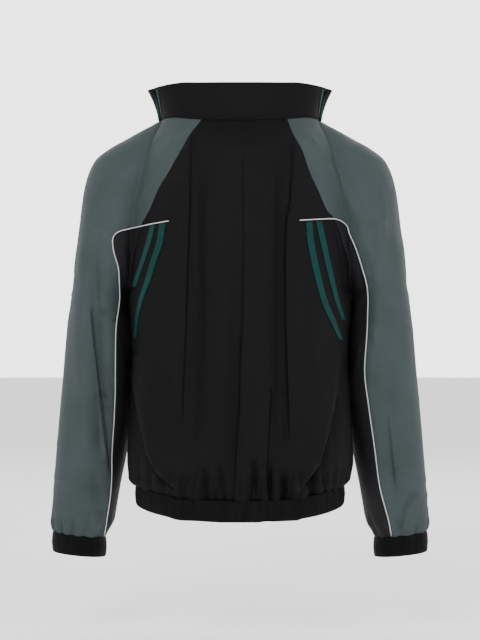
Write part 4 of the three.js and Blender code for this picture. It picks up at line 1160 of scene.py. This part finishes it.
def make_under_sleeve(side):
    across = across_shares(36)
    grids = []
    for corner, edges, lower_edges, seams in (
        (CORNER_Z[side], (raglan, piping_line), (armpit_line, piping_wrap), (False, True)),
        (CORNER_Z["front"], (piping_front, raglan_front), (piping_front_below, armpit_line), (True, False)),
    ):
        def row_at(z, creased=True):
            return body_row(side, z, across, edges, (True, True), creased)

        strip = [row_at(z) for z in levels(corner - 0.5, corner - 22, 2.2)]
        strip += [row_at(z) for z in levels(corner - 22, JOINED_END_Z, ROW_STEP)[1:]]
        joined = row_at(JOINED_END_Z, False)
        grids.append(strip + sleeve_rows(side, across, *lower_edges, seams, joined))
    name = f"under_sleeve_{side}_cloth"
    thickness = bpy.context.scene.jacket_cloth.cloth_thickness
    flip = side == "left"
    # The under-sleeves' black is lightened as painted light, against the shade between arm and body
    add_cloth(name, grids, "under_cloth", thickness, flip)


# Lines of stitching round the elastic bands, by share of their height, and how much they draw the band in
BAND_STITCHES = (0.35, 0.68)
BAND_DIPS = [(0.0, 0.8), (1.0, 0.8)] + [(share, 0.45) for share in BAND_STITCHES]
BAND_RIB = {"pitch": 6.3, "height": 0.45}


def band_rows(flat_row, seam, seed):
    """Rows down an elastic band: full in the middle, drawn in at its stitching, with small gathers."""
    rows = []
    along = flat_row.flat[:, 0] * 1000
    ribs = np.sin(2 * math.pi * along / BAND_RIB["pitch"] + seed + 1.2 * np.sin(along / 31.0))
    for share in [0, 0.02, 0.06] + list(np.linspace(0.1, 0.9, 13)) + [0.94, 0.98, 1.0]:
        bulge = 1.2 * math.sin(math.pi * share)
        for place, depth in BAND_DIPS:
            bulge -= depth * math.exp(-(((share - place) / 0.03) ** 2))
        rib = BAND_RIB["height"] * ribs * math.sin(math.pi * min(max(share, 0.04), 0.96))
        z = seam - BAND_HEIGHT * share
        points = flat_row.points + flat_row.normals * (bulge + rib)[:, None]
        points[:, 2] = z
        rows.append(Row(points, flat_row.normals, np.stack([flat_row.flat[:, 0], z / 1000], axis=1)))
    return rows


def hem_band_half(side):
    across = np.linspace(0, 1, 111)
    level = np.full(len(across), HEM_BAND_LEVEL)
    distance = (zip_line(side, level) + 0.4) * across
    row = cloth_row(half_outline, side, level, distance)
    length = outline_at(half_outline, side, level).length
    return band_rows(row, hem_z(side, distance / length), 0.0)


def make_hem_band():
    grids = [both_halves(hem_band_half)]
    thickness = bpy.context.scene.jacket_cloth.band_thickness
    add_cloth("hem_band_elastic", grids, "band_cloth", thickness)


def cuff_band(side):
    across = np.linspace(0, 1, 97)
    level = np.full(len(across), CUFF_LEVEL)
    length = outline_at(sleeve_outline, side, level).length
    row = cloth_row(sleeve_outline, side, level, length * across)
    return band_rows(row, cuff_z(row.points[:, 0]), 1.0)


def make_cuff(side):
    name = f"cuff_{side}_elastic"
    thickness = bpy.context.scene.jacket_cloth.band_thickness
    grids = [cuff_band(side)]
    add_cloth(name, grids, "band_cloth", thickness, side == "left")


NECK_LENGTH = 220.5


def collar_row(side, share, up):
    """A row round one half of the collar, at a share of its height."""
    z = neck_along(NECK_LENGTH * share)
    foot = cloth_row(half_outline, side, z, zip_line(side, z) * share)
    capped = np.minimum(share, 1)
    lean_all, height = collar_lean(capped), collar_height(capped)
    lean = lean_all * (0.35 * up + 0.65 * up * up)
    rise = np.sqrt(height ** 2 - lean_all ** 2) * up
    wave = 0.5 * np.sin(share * 9 + 2.0) * up + 0.35 * np.sin(share * 31 + SIDES[side]) * up * (1 - up)
    dip = -0.8 * math.exp(-((up / 0.035) ** 2)) - 0.45 * math.exp(-(((up - 0.93) / 0.02) ** 2))
    points = foot.points + foot.normals * (lean + wave + dip)[:, None]
    points[:, 2] = z + 0.3 + rise
    tilt = lean_all * (0.35 + 1.3 * up) / height
    normals = foot.normals.copy()
    normals[:, 2] = -tilt
    normals /= np.linalg.norm(normals, axis=1)[:, None]
    flat = np.stack([SIDES[side] * share * NECK_LENGTH / 1000, height * up / 1000], axis=1)
    return Row(points, normals, flat)


def make_collar():
    shares = np.concatenate([np.linspace(0, 0.985, 64), [0.993, 1.0]])
    ups = [1.0, 0.985, 0.96, 0.93, 0.9] + list(np.linspace(0.84, 0.1, 12)) + [0.06, 0.03, 0.0]

    def half(side):
        return [collar_row(side, shares, up) for up in ups]

    thickness = bpy.context.scene.jacket_cloth.collar_thickness
    grids = [both_halves(half)]
    piece = add_cloth(
        "collar_cloth", grids, "collar_cloth", thickness
    )
    round_edge = piece.modifiers.new("Rolled edge", "BEVEL")
    round_edge.width = 0.0009
    round_edge.segments = 3
    round_edge.limit_method = "ANGLE"
    round_edge.angle_limit = math.radians(60)


def make_collar_stripe(side, name):
    low, high = COLLAR_STRIPES[name]
    half = COLLAR_STRIPE_WIDTH / 2 / NECK_LENGTH
    rows = []
    for t in np.linspace(0, 1, 22):
        middle = high + (low - high) * t
        share = middle + half * np.array([-1.0, -0.85, 0.0, 0.85, 1.0])
        row = collar_row(side, share, 0.94 - 0.88 * t)
        row.points = row.points + row.normals * np.array([-0.3, 0.0, 0.1, 0.0, -0.3])[:, None]
        rows.append(row)
    lift = half_wall(bpy.context.scene.jacket_cloth.collar_thickness) + 0.5
    add_tape(f"collar_stripe_{side}_{name}", rows, side == "left", lift, 0.0005)


# Places across a back tape, as shares of its half width. Its edges turn down
STRIPE_PLACES = np.array([-1, -0.93, -0.6, 0, 0.6, 0.93, 1.0])
STRIPE_EDGE_DROP = np.array([-0.35, 0, 0, 0, 0, 0, -0.35])


def make_back_stripe(name):
    side = name.split("_")[0]
    line = BACK_STRIPES[name]
    x_at = curve(line, "z", "x")
    rows = []
    for z in levels(line["z"][0], line["z"][-1], 3.5):
        level = np.full(len(STRIPE_PLACES), z)
        slope = float((x_at(z - 3) - x_at(z + 3)) / 6)
        half = BACK_STRIPE_WIDTH / 2 * math.hypot(1, slope)
        outline = outline_at(half_outline, side, level)
        middle = outline.distance_to("back", np.full(len(STRIPE_PLACES), float(x_at(z))))
        edge = (raglan if z > ARMPIT_Z else side_seam)(side, level) - 2
        distance = np.minimum(middle + half * STRIPE_PLACES, edge)
        lift = soft_ripple(distance, level) + STRIPE_EDGE_DROP
        rows.append(cloth_row(half_outline, side, level, distance, lift))
    lift = half_wall(bpy.context.scene.jacket_cloth.cloth_thickness) + 0.7
    piece = add_tape(f"back_stripe_{name}", rows, side == "left", lift, 0.0006)


def piping_rows(side):
    """Points down the seam that the piping lies on, with the way the cloth faces there."""
    corner = CORNER_Z[side]
    start_z, start_x = PIPING_START[side]
    joins = []
    for share in np.linspace(0, 1, 22):
        z = np.array([start_z + (corner - 0.5 - start_z) * share])
        x = np.array([start_x + (float(raglan_x[side](corner)) - start_x) * share])
        x = x + 1.5 * math.sin(math.pi * share)
        outline = outline_at(half_outline, side, z)
        joins.append(cloth_row(half_outline, side, z, outline.distance_to("back", x)))
    heights = [*levels(corner - 1.0, corner - 22, 1.5), *levels(corner - 22, JOINED_END_Z, ROW_STEP)[1:]]
    for height in heights:
        z = np.array([height])
        joins.append(cloth_row(half_outline, side, z, piping_line(side, z)))
    level = np.array([CUFF_SEAM_Z])
    foot = smooth_row(sleeve_outline, side, level, piping_below(side, level))
    lower = []
    for height in levels(ARMPIT_Z, float(cuff_z(foot.points[0, 0])) + 1.5, 6):
        z = np.array([height])
        distance = piping_below(side, z)
        lower.append(cloth_row(sleeve_outline, side, z, distance, cuff_swell(side, z, distance, 0, 0)))
    last = np.array([JOINED_END_Z])
    first = np.array([ARMPIT_Z])
    upper_end = smooth_row(half_outline, side, last, piping_line(side, last))
    lower_start = smooth_row(sleeve_outline, side, first, piping_below(side, first))
    rows = joins + blend_rows(side, upper_end, lower_start, 5) + lower
    points = np.concatenate([row.points for row in rows])
    normals = np.concatenate([row.normals for row in rows])
    return smooth_line(points, 6), normals


def smooth_line(points, times):
    points = points.copy()
    for _ in range(times):
        points[1:-1] = (points[:-2] + 2 * points[1:-1] + points[2:]) / 4
    return points


def sweep(name, points, normals, width, height, lift, sides=12):
    """A flattened cord over a line of points, closed at both ends."""
    line = points + normals * (lift + height / 2)
    along = np.gradient(line, axis=0)
    along /= np.linalg.norm(along, axis=1)[:, None]
    across = np.cross(along, normals)
    across /= np.linalg.norm(across, axis=1)[:, None]
    up = np.cross(across, along)
    turn = np.linspace(0, 2 * math.pi, sides + 1)
    walked = walked_along(line)
    scale = np.ones(len(line))
    scale[[0, -1]] = 0.6
    rows = []
    for i in range(len(line)):
        ring = line[i] + scale[i] * (
            np.cos(turn)[:, None] * across[i] * width / 2 + np.sin(turn)[:, None] * up[i] * height / 2
        )
        flat = np.stack([turn * width / 2 / 1000, np.full(sides + 1, walked[i] / 1000)], axis=1)
        rows.append(Row(ring, ring, flat))
    mesh = grid_mesh(name, [rows])
    shape = bmesh.new()
    shape.from_mesh(mesh)
    bmesh.ops.holes_fill(shape, edges=[e for e in shape.edges if e.is_boundary])
    bmesh.ops.recalc_face_normals(shape, faces=shape.faces)
    shape.to_mesh(mesh)
    shape.free()
    return mesh


def make_piping(side):
    points, normals = piping_rows(side)
    name = f"piping_{side}_cord"
    mesh = sweep(name, points, normals, PIPING_WIDTH, PIPING_HEIGHT, PIPING_LIFT)
    add_object(name, mesh, material("piping_cord"), [f"piping_{side}"])


# The zip
def tape_rows(side):
    """Rows of the zip tape, from the top of the collar over the front to the foot of the band."""
    across = np.linspace(0, 1, 5)
    rows = []
    for up in np.linspace(1, 0, 24):
        rows.append(collar_row(side, 1.0 + 0.15 / NECK_LENGTH + across * TAPE_WIDTH / NECK_LENGTH, up))
    for z in levels(-22, HEM_SEAM_Z - 14, 4):
        level = np.full(5, z)
        rows.append(cloth_row(half_outline, side, level, zip_line(side, level) + across * TAPE_WIDTH))
    level = np.full(5, HEM_BAND_LEVEL)
    foot = cloth_row(half_outline, side, level, zip_line(side, level) + across * TAPE_WIDTH)
    for z in levels(HEM_SEAM_Z - 18, HEM_SEAM_Z - HEM_DROP - BAND_HEIGHT, 4):
        points = foot.points.copy()
        points[:, 2] = z
        rows.append(Row(points, foot.normals, np.stack([foot.flat[:, 0], np.full(5, z / 1000)], axis=1)))
    return rows


def make_zip_tape(side):
    name = f"zip_tape_{side}_cloth"
    mesh = grid_mesh(name, [tape_rows(side)], side == "left")
    piece = add_object(name, mesh, material("zip_tape"), [f"zip_tape_{side}"])
    add_wall(piece, 0.0008)


def deselect_all():
    bpy.ops.object.select_all(action="DESELECT")


def take_shape(piece):
    """The corners and faces of a modelled shape, which is then removed."""
    corners = np.array([v.co[:] for v in piece.data.vertices])
    faces = [list(p.vertices) for p in piece.data.polygons]
    bpy.data.objects.remove(piece, do_unlink=True)
    return corners, faces


def tooth_shape():
    """One zip tooth with a narrower head, modelled from a cube. Returns its corners and faces."""
    deselect_all()
    bpy.ops.mesh.primitive_cube_add(size=1.0, location=(0, 0, 0))
    tooth = bpy.context.object
    bpy.ops.object.mode_set(mode="EDIT")
    bpy.ops.mesh.select_all(action="SELECT")
    bpy.ops.transform.resize(value=(0.0036, 0.0022, 0.0014))
    bpy.ops.mesh.select_all(action="DESELECT")
    shape = bmesh.from_edit_mesh(tooth.data)
    for face in shape.faces:
        face.select = face.normal.x > 0.9
    bmesh.update_edit_mesh(tooth.data)
    bpy.ops.mesh.extrude_region_move(TRANSFORM_OT_translate={"value": (0.0011, 0, 0)})
    bpy.ops.transform.resize(value=(1.0, 0.9, 0.8))
    bpy.ops.object.mode_set(mode="OBJECT")
    return take_shape(tooth)


def repeat_shape(name, corners, faces, places):
    """A mesh of many copies. places holds, for each copy, its middle and its three axes."""
    points = np.concatenate([middle + corners @ axes for middle, axes in places])
    count = len(corners)
    joined = [[i + count * n for i in face] for n in range(len(places)) for face in faces]
    mesh = bpy.data.meshes.new(name)
    mesh.from_pydata(points.tolist(), [], joined)
    mesh.update()
    shape = bmesh.new()
    shape.from_mesh(mesh)
    bmesh.ops.recalc_face_normals(shape, faces=shape.faces)
    shape.to_mesh(mesh)
    shape.free()
    return mesh


def walked_along(points):
    return np.concatenate([[0], np.cumsum(np.linalg.norm(np.diff(points, axis=0), axis=1))])


def read_along(at, walked, values):
    """Reads directions or places, known at the distances walked, at other distances."""
    return np.stack([np.interp(at, walked, values[:, i]) for i in range(3)], axis=1)


def resample(points, normals, pitch, start=0.0):
    """Evenly spaced places along a line, with the way the cloth faces and the way the line runs."""
    walked = walked_along(points)
    at = np.arange(start, walked[-1], pitch)
    places, facing = read_along(at, walked, points), read_along(at, walked, normals)
    facing /= np.linalg.norm(facing, axis=1)[:, None]
    along = np.gradient(places, axis=0)
    along /= np.linalg.norm(along, axis=1)[:, None]
    return places, facing, along


def make_zip_teeth():
    corners, faces = tooth_shape()
    for side in SIDES:
        rows = tape_rows(side)
        points = np.stack([row.points[-1] for row in rows])
        normals = np.stack([row.normals[-1] for row in rows])
        inward = np.stack([row.points[-1] - row.points[-2] for row in rows])
        start = 0.0 if side == "left" else TOOTH_PITCH / 2
        middles, facing, along = resample(points, normals, TOOTH_PITCH, start)
        walked = walked_along(points)
        at = np.linspace(0, walked[-1], len(middles))
        toward = read_along(at, walked, inward)
        places = []
        for middle, face, run, inside in zip(middles, facing, along, toward):
            if abs(middle[2] - SLIDER_Z) < SLIDER_ROOM:
                continue
            first = inside - run * np.dot(inside, run)
            first /= np.linalg.norm(first)
            second = np.cross(run, first)
            shift = -0.8 if middle[2] < SLIDER_Z else 0.4
            places.append(((middle + first * shift) / 1000, np.stack([first, second, run])))
        name = f"zip_teeth_{side}"
        add_object(name, repeat_shape(name, corners, faces, places), material("teeth"), ())


def make_slider():
    for node in ("slider", "pull_tab"):
        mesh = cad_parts[node].data.copy()
        shape = bmesh.new()
        shape.from_mesh(mesh)
        bmesh.ops.remove_doubles(shape, verts=shape.verts, dist=1e-6)
        bmesh.ops.dissolve_limit(shape, angle_limit=0.02, verts=shape.verts, edges=shape.edges)
        shape.to_mesh(mesh)
        shape.free()
        piece = bpy.data.objects.new(f"zip_{node}", mesh)
        bpy.context.scene.collection.objects.link(piece)
        mesh.materials.clear()
        mesh.materials.append(material("zip_metal"))
        soften = piece.modifiers.new("Soft edges", "BEVEL")
        soften.width = 0.00025
        soften.segments = 2
        soften.limit_method = "ANGLE"
        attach(piece, "pull_tab" if node == "pull_tab" else "jacket")
        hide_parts(node)


# Stitching
STITCH_PITCH = 3.7
STITCH_SIZE = np.array([0.00045, 0.00045, 0.0026])


def stitch_shape():
    """One stitch, long and slim, modelled from a sphere. Returns its corners and faces."""
    deselect_all()
    bpy.ops.mesh.primitive_uv_sphere_add(segments=6, ring_count=4, radius=0.5, location=(0, 0, 0))
    stitch = bpy.context.object
    corners, faces = take_shape(stitch)
    return corners * STITCH_SIZE, faces


def seam_paths():
    """Lines of topstitching, each as its points and the way the cloth faces there."""
    paths = []
    for side in SIDES:
        for line, offset, top, end, lift in (
            (raglan, -2.4, -14, CORNER_Z[side], 0.5),
            (raglan_front, 2.4, -14, CORNER_Z["front"], 0.5),
            (zip_line, -5.0, -24, HEM_SEAM_Z - 10, 0.4),
        ):
            rows = []
            for z in levels(top, end, 4):
                level = np.array([z])
                distance = line(side, level) + offset
                raised = soft_ripple(distance, level) + lift
                rows.append(cloth_row(half_outline, side, level, distance, raised))
            points = np.concatenate([row.points for row in rows])
            paths.append((points, np.concatenate([row.normals for row in rows])))
        for up, lift in ((0.055, 1.1), (0.93, 0.9)):
            row = collar_row(side, np.linspace(0, 0.985, 60), up)
            paths.append((row.points + row.normals * lift, row.normals))
        for share in BAND_STITCHES:
            for rows in (hem_band_half(side), cuff_band(side)):
                row = rows[int(round(share * (len(rows) - 1)))]
                lift = half_wall(bpy.context.scene.jacket_cloth.band_thickness)
                paths.append((row.points + row.normals * lift, row.normals))
    return paths


def make_stitching():
    corners, faces = stitch_shape()
    places = []
    for points, normals in seam_paths():
        middles, facing, along = resample(points, normals, STITCH_PITCH)
        for middle, face, run in zip(middles, facing, along):
            side_way = np.cross(run, face)
            side_way /= np.linalg.norm(side_way)
            places.append(((middle + face * 0.25) / 1000, np.stack([side_way, np.cross(side_way, run), run])))
    mesh = repeat_shape("seam_stitching", corners, faces, places)
    mesh.uv_layers.new(name="Cloth")
    mesh.polygons.foreach_set("use_smooth", [True] * len(mesh.polygons))
    add_object("seam_stitching", mesh, material("thread"), ())


# The stage
def area_light(name, location, target, size, power, colour):
    lamp = bpy.data.lights.new(name, "AREA")
    lamp.shape = "RECTANGLE"
    lamp.size, lamp.size_y = size
    lamp.energy = power
    lamp.color = colour
    holder = bpy.data.objects.new(name, lamp)
    bpy.context.scene.collection.objects.link(holder)
    holder.location = location
    holder.rotation_euler = (Vector(target) - Vector(location)).to_track_quat("-Z", "Y").to_euler()


def light_studio(room, wall):
    """The studio is brightest behind the back view, as a lit white wall is."""
    world = bpy.context.scene.world or bpy.data.worlds.new("Studio")
    bpy.context.scene.world = world
    world.use_nodes = True
    tree = world.node_tree
    place = tree.nodes.new("ShaderNodeTexCoord")
    parts = tree.nodes.new("ShaderNodeSeparateXYZ")
    spread = tree.nodes.new("ShaderNodeMapRange")
    spread.interpolation_type = "SMOOTHSTEP"
    for socket, value in (("From Min", -0.35), ("From Max", 0.8), ("To Min", room), ("To Max", wall)):
        spread.inputs[socket].default_value = value
    background = tree.nodes["Background"]
    background.inputs["Color"].default_value = (1.0, 1.0, 1.0, 1.0)
    tree.links.new(place.outputs["Generated"], parts.inputs[0])
    tree.links.new(parts.outputs["Y"], spread.inputs["Value"])
    tree.links.new(spread.outputs["Result"], background.inputs["Strength"])


def make_stage():
    stage = bpy.context.scene.jacket_stage
    deselect_all()
    place = (0, 0, stage.floor_height)
    bpy.ops.mesh.primitive_circle_add(vertices=96, radius=14.0, fill_type="NGON", location=place)
    floor = bpy.context.object
    floor.name = "floor"
    floor.data.materials.append(material("floor"))
    light_studio(stage.room, stage.wall)
    area_light("key light", (-0.9, -3.0, 1.5), (0, 0, -0.3), (1.2, 1.2), stage.key, (1.0, 0.99, 0.97))
    area_light("fill light", (1.9, -2.3, 0.7), (0, 0, -0.35), (1.6, 2.0), stage.fill, (0.97, 0.99, 1.0))
    area_light("far light", (0.4, 2.8, 1.7), (0, 0, -0.2), (2.0, 1.6), stage.far, (1.0, 1.0, 1.0))
    camera = bpy.data.objects.new("camera", bpy.data.cameras.new("camera"))
    bpy.context.scene.collection.objects.link(camera)
    camera.location = (0, -stage.camera_distance, stage.camera_height)
    camera.rotation_euler = (math.radians(90), 0, 0)
    camera.data.lens = stage.lens
    camera.data.sensor_width = 36.0
    bpy.context.scene.camera = camera


# Settings, operators and panel
def colour_prop(name, description, default):
    return bpy.props.FloatVectorProperty(
        name=name, description=description, subtype="COLOR", size=3, min=0.0, max=1.0, default=default
    )


def length_prop(name, description, default):
    return bpy.props.FloatProperty(
        name=name, description=description, unit="LENGTH", subtype="DISTANCE", min=0.0001, default=default
    )


def height_prop(name, description, default):
    return bpy.props.FloatProperty(name=name, description=description, unit="LENGTH", default=default)


def number_prop(name, description, default, **limits):
    return bpy.props.FloatProperty(name=name, description=description, default=default, **limits)


class JacketClothSettings(bpy.types.PropertyGroup):
    black: colour_prop("Black cloth", "Colour of the body and under-sleeves", (0.0026, 0.0026, 0.0032))
    slate: colour_prop("Slate cloth", "Colour of the raglan sleeves", (0.0325, 0.0440, 0.0450))
    band: colour_prop("Elastic", "Colour of the hem band, cuffs and zip tapes", (0.0018, 0.0018, 0.0022))
    green: colour_prop("Tapes", "Colour of the tapes on the back and collar", (0.0008, 0.0285, 0.0260))
    piping: colour_prop("Piping", "Colour of the piping on the sleeves", (0.42, 0.44, 0.44))
    metal: colour_prop("Zip metal", "Colour of the slider, pull tab and teeth", (0.02, 0.02, 0.022))
    cloth_thickness: length_prop("Cloth", "Thickness of the body and sleeve cloth", 0.0011)
    band_thickness: length_prop("Elastic", "Thickness of the hem band and cuffs", 0.0024)
    collar_thickness: length_prop("Collar", "Thickness of the doubled collar", 0.0022)
    crease_depth: number_prop(
        "Creases", "How deep the fine creases are, beside the main folds", 1.3, min=0.0, max=2.0
    )


class JacketStageSettings(bpy.types.PropertyGroup):
    floor: colour_prop("Floor", "Colour of the floor", (0.9, 0.9, 0.9))
    floor_height: height_prop("Floor height", "Height of the floor", -0.84)
    wall: number_prop("Wall", "Brightness of the studio's lit wall", 3.4, min=0.0)
    room: number_prop("Room", "Brightness of the rest of the studio", 0.55, min=0.0)
    key: number_prop("Key light", "Power of the main light, in watts", 95.0, min=0.0)
    fill: number_prop("Fill light", "Power of the second light, in watts", 40.0, min=0.0)
    far: number_prop("Far light", "Power of the light on the front, in watts", 50.0, min=0.0)
    camera_distance: length_prop("Camera distance", "From the camera to the middle of the jacket", 3.0)
    camera_height: height_prop("Camera height", "Height of the camera", -0.322)
    lens: number_prop("Lens", "Focal length in millimetres", 105.47, min=20.0)


class MakeBody(bpy.types.Operator):
    """Adds the back panel and the two fronts"""

    bl_idname = "jacket.make_body"
    bl_label = "Back and fronts"

    def execute(self, context):
        make_back_panel()
        for side in SIDES:
            make_front(side)
        return {"FINISHED"}


class MakeSleeves(bpy.types.Operator):
    """Adds the slate sleeves and the black under-sleeves"""

    bl_idname = "jacket.make_sleeves"
    bl_label = "Sleeves"

    def execute(self, context):
        for side in SIDES:
            make_sleeve(side)
            make_under_sleeve(side)
        return {"FINISHED"}


class MakeBands(bpy.types.Operator):
    """Adds the elastic hem band and cuffs"""

    bl_idname = "jacket.make_bands"
    bl_label = "Elastic bands"

    def execute(self, context):
        make_hem_band()
        for side in SIDES:
            make_cuff(side)
        return {"FINISHED"}


class MakeCollar(bpy.types.Operator):
    """Adds the stand collar and its narrow tapes"""

    bl_idname = "jacket.make_collar"
    bl_label = "Collar"

    def execute(self, context):
        make_collar()
        for side in SIDES:
            for name in COLLAR_STRIPES:
                make_collar_stripe(side, name)
        return {"FINISHED"}


class MakeTrims(bpy.types.Operator):
    """Adds the curved tapes on the back and the piping down the sleeves"""

    bl_idname = "jacket.make_trims"
    bl_label = "Tapes and piping"

    def execute(self, context):
        for name in BACK_STRIPES:
            make_back_stripe(name)
        for side in SIDES:
            make_piping(side)
        return {"FINISHED"}


class MakeZip(bpy.types.Operator):
    """Adds the zip's tapes, teeth, slider and pull tab"""

    bl_idname = "jacket.make_zip"
    bl_label = "Zip"

    def execute(self, context):
        for side in SIDES:
            make_zip_tape(side)
        make_zip_teeth()
        make_slider()
        return {"FINISHED"}


class MakeStitching(bpy.types.Operator):
    """Adds the topstitching beside the seams"""

    bl_idname = "jacket.make_stitching"
    bl_label = "Topstitching"

    def execute(self, context):
        make_stitching()
        return {"FINISHED"}


class MakeStage(bpy.types.Operator):
    """Adds the floor, the lights and the camera"""

    bl_idname = "jacket.make_stage"
    bl_label = "Stage"

    def execute(self, context):
        make_stage()
        return {"FINISHED"}


OPERATORS = (MakeBody, MakeSleeves, MakeBands, MakeCollar, MakeTrims, MakeZip, MakeStitching, MakeStage)


class JacketPanel(bpy.types.Panel):
    """Lists the sizes, the colours and the steps"""

    bl_idname = "VIEW3D_PT_jacket"
    bl_label = "Track jacket"
    bl_space_type = "VIEW_3D"
    bl_region_type = "UI"
    bl_category = "Jacket"

    def draw(self, context):
        for settings in (context.scene.jacket_cloth, context.scene.jacket_stage):
            box = self.layout.box()
            for name in settings.__annotations__:
                box.prop(settings, name)
        for operator in OPERATORS:
            self.layout.operator(operator.bl_idname)


CLASSES = (JacketClothSettings, JacketStageSettings, *OPERATORS, JacketPanel)


def register():
    for cls in CLASSES:
        bpy.utils.register_class(cls)
    bpy.types.Scene.jacket_cloth = bpy.props.PointerProperty(type=JacketClothSettings)
    bpy.types.Scene.jacket_stage = bpy.props.PointerProperty(type=JacketStageSettings)


def unregister():
    del bpy.types.Scene.jacket_stage
    del bpy.types.Scene.jacket_cloth
    for cls in reversed(CLASSES):
        bpy.utils.unregister_class(cls)


def main():
    register()
    bpy.ops.jacket.make_body()
    bpy.ops.jacket.make_sleeves()
    bpy.ops.jacket.make_bands()
    bpy.ops.jacket.make_collar()
    bpy.ops.jacket.make_trims()
    bpy.ops.jacket.make_zip()
    bpy.ops.jacket.make_stitching()
    bpy.ops.jacket.make_stage()


if __name__ == "__main__":
    main()
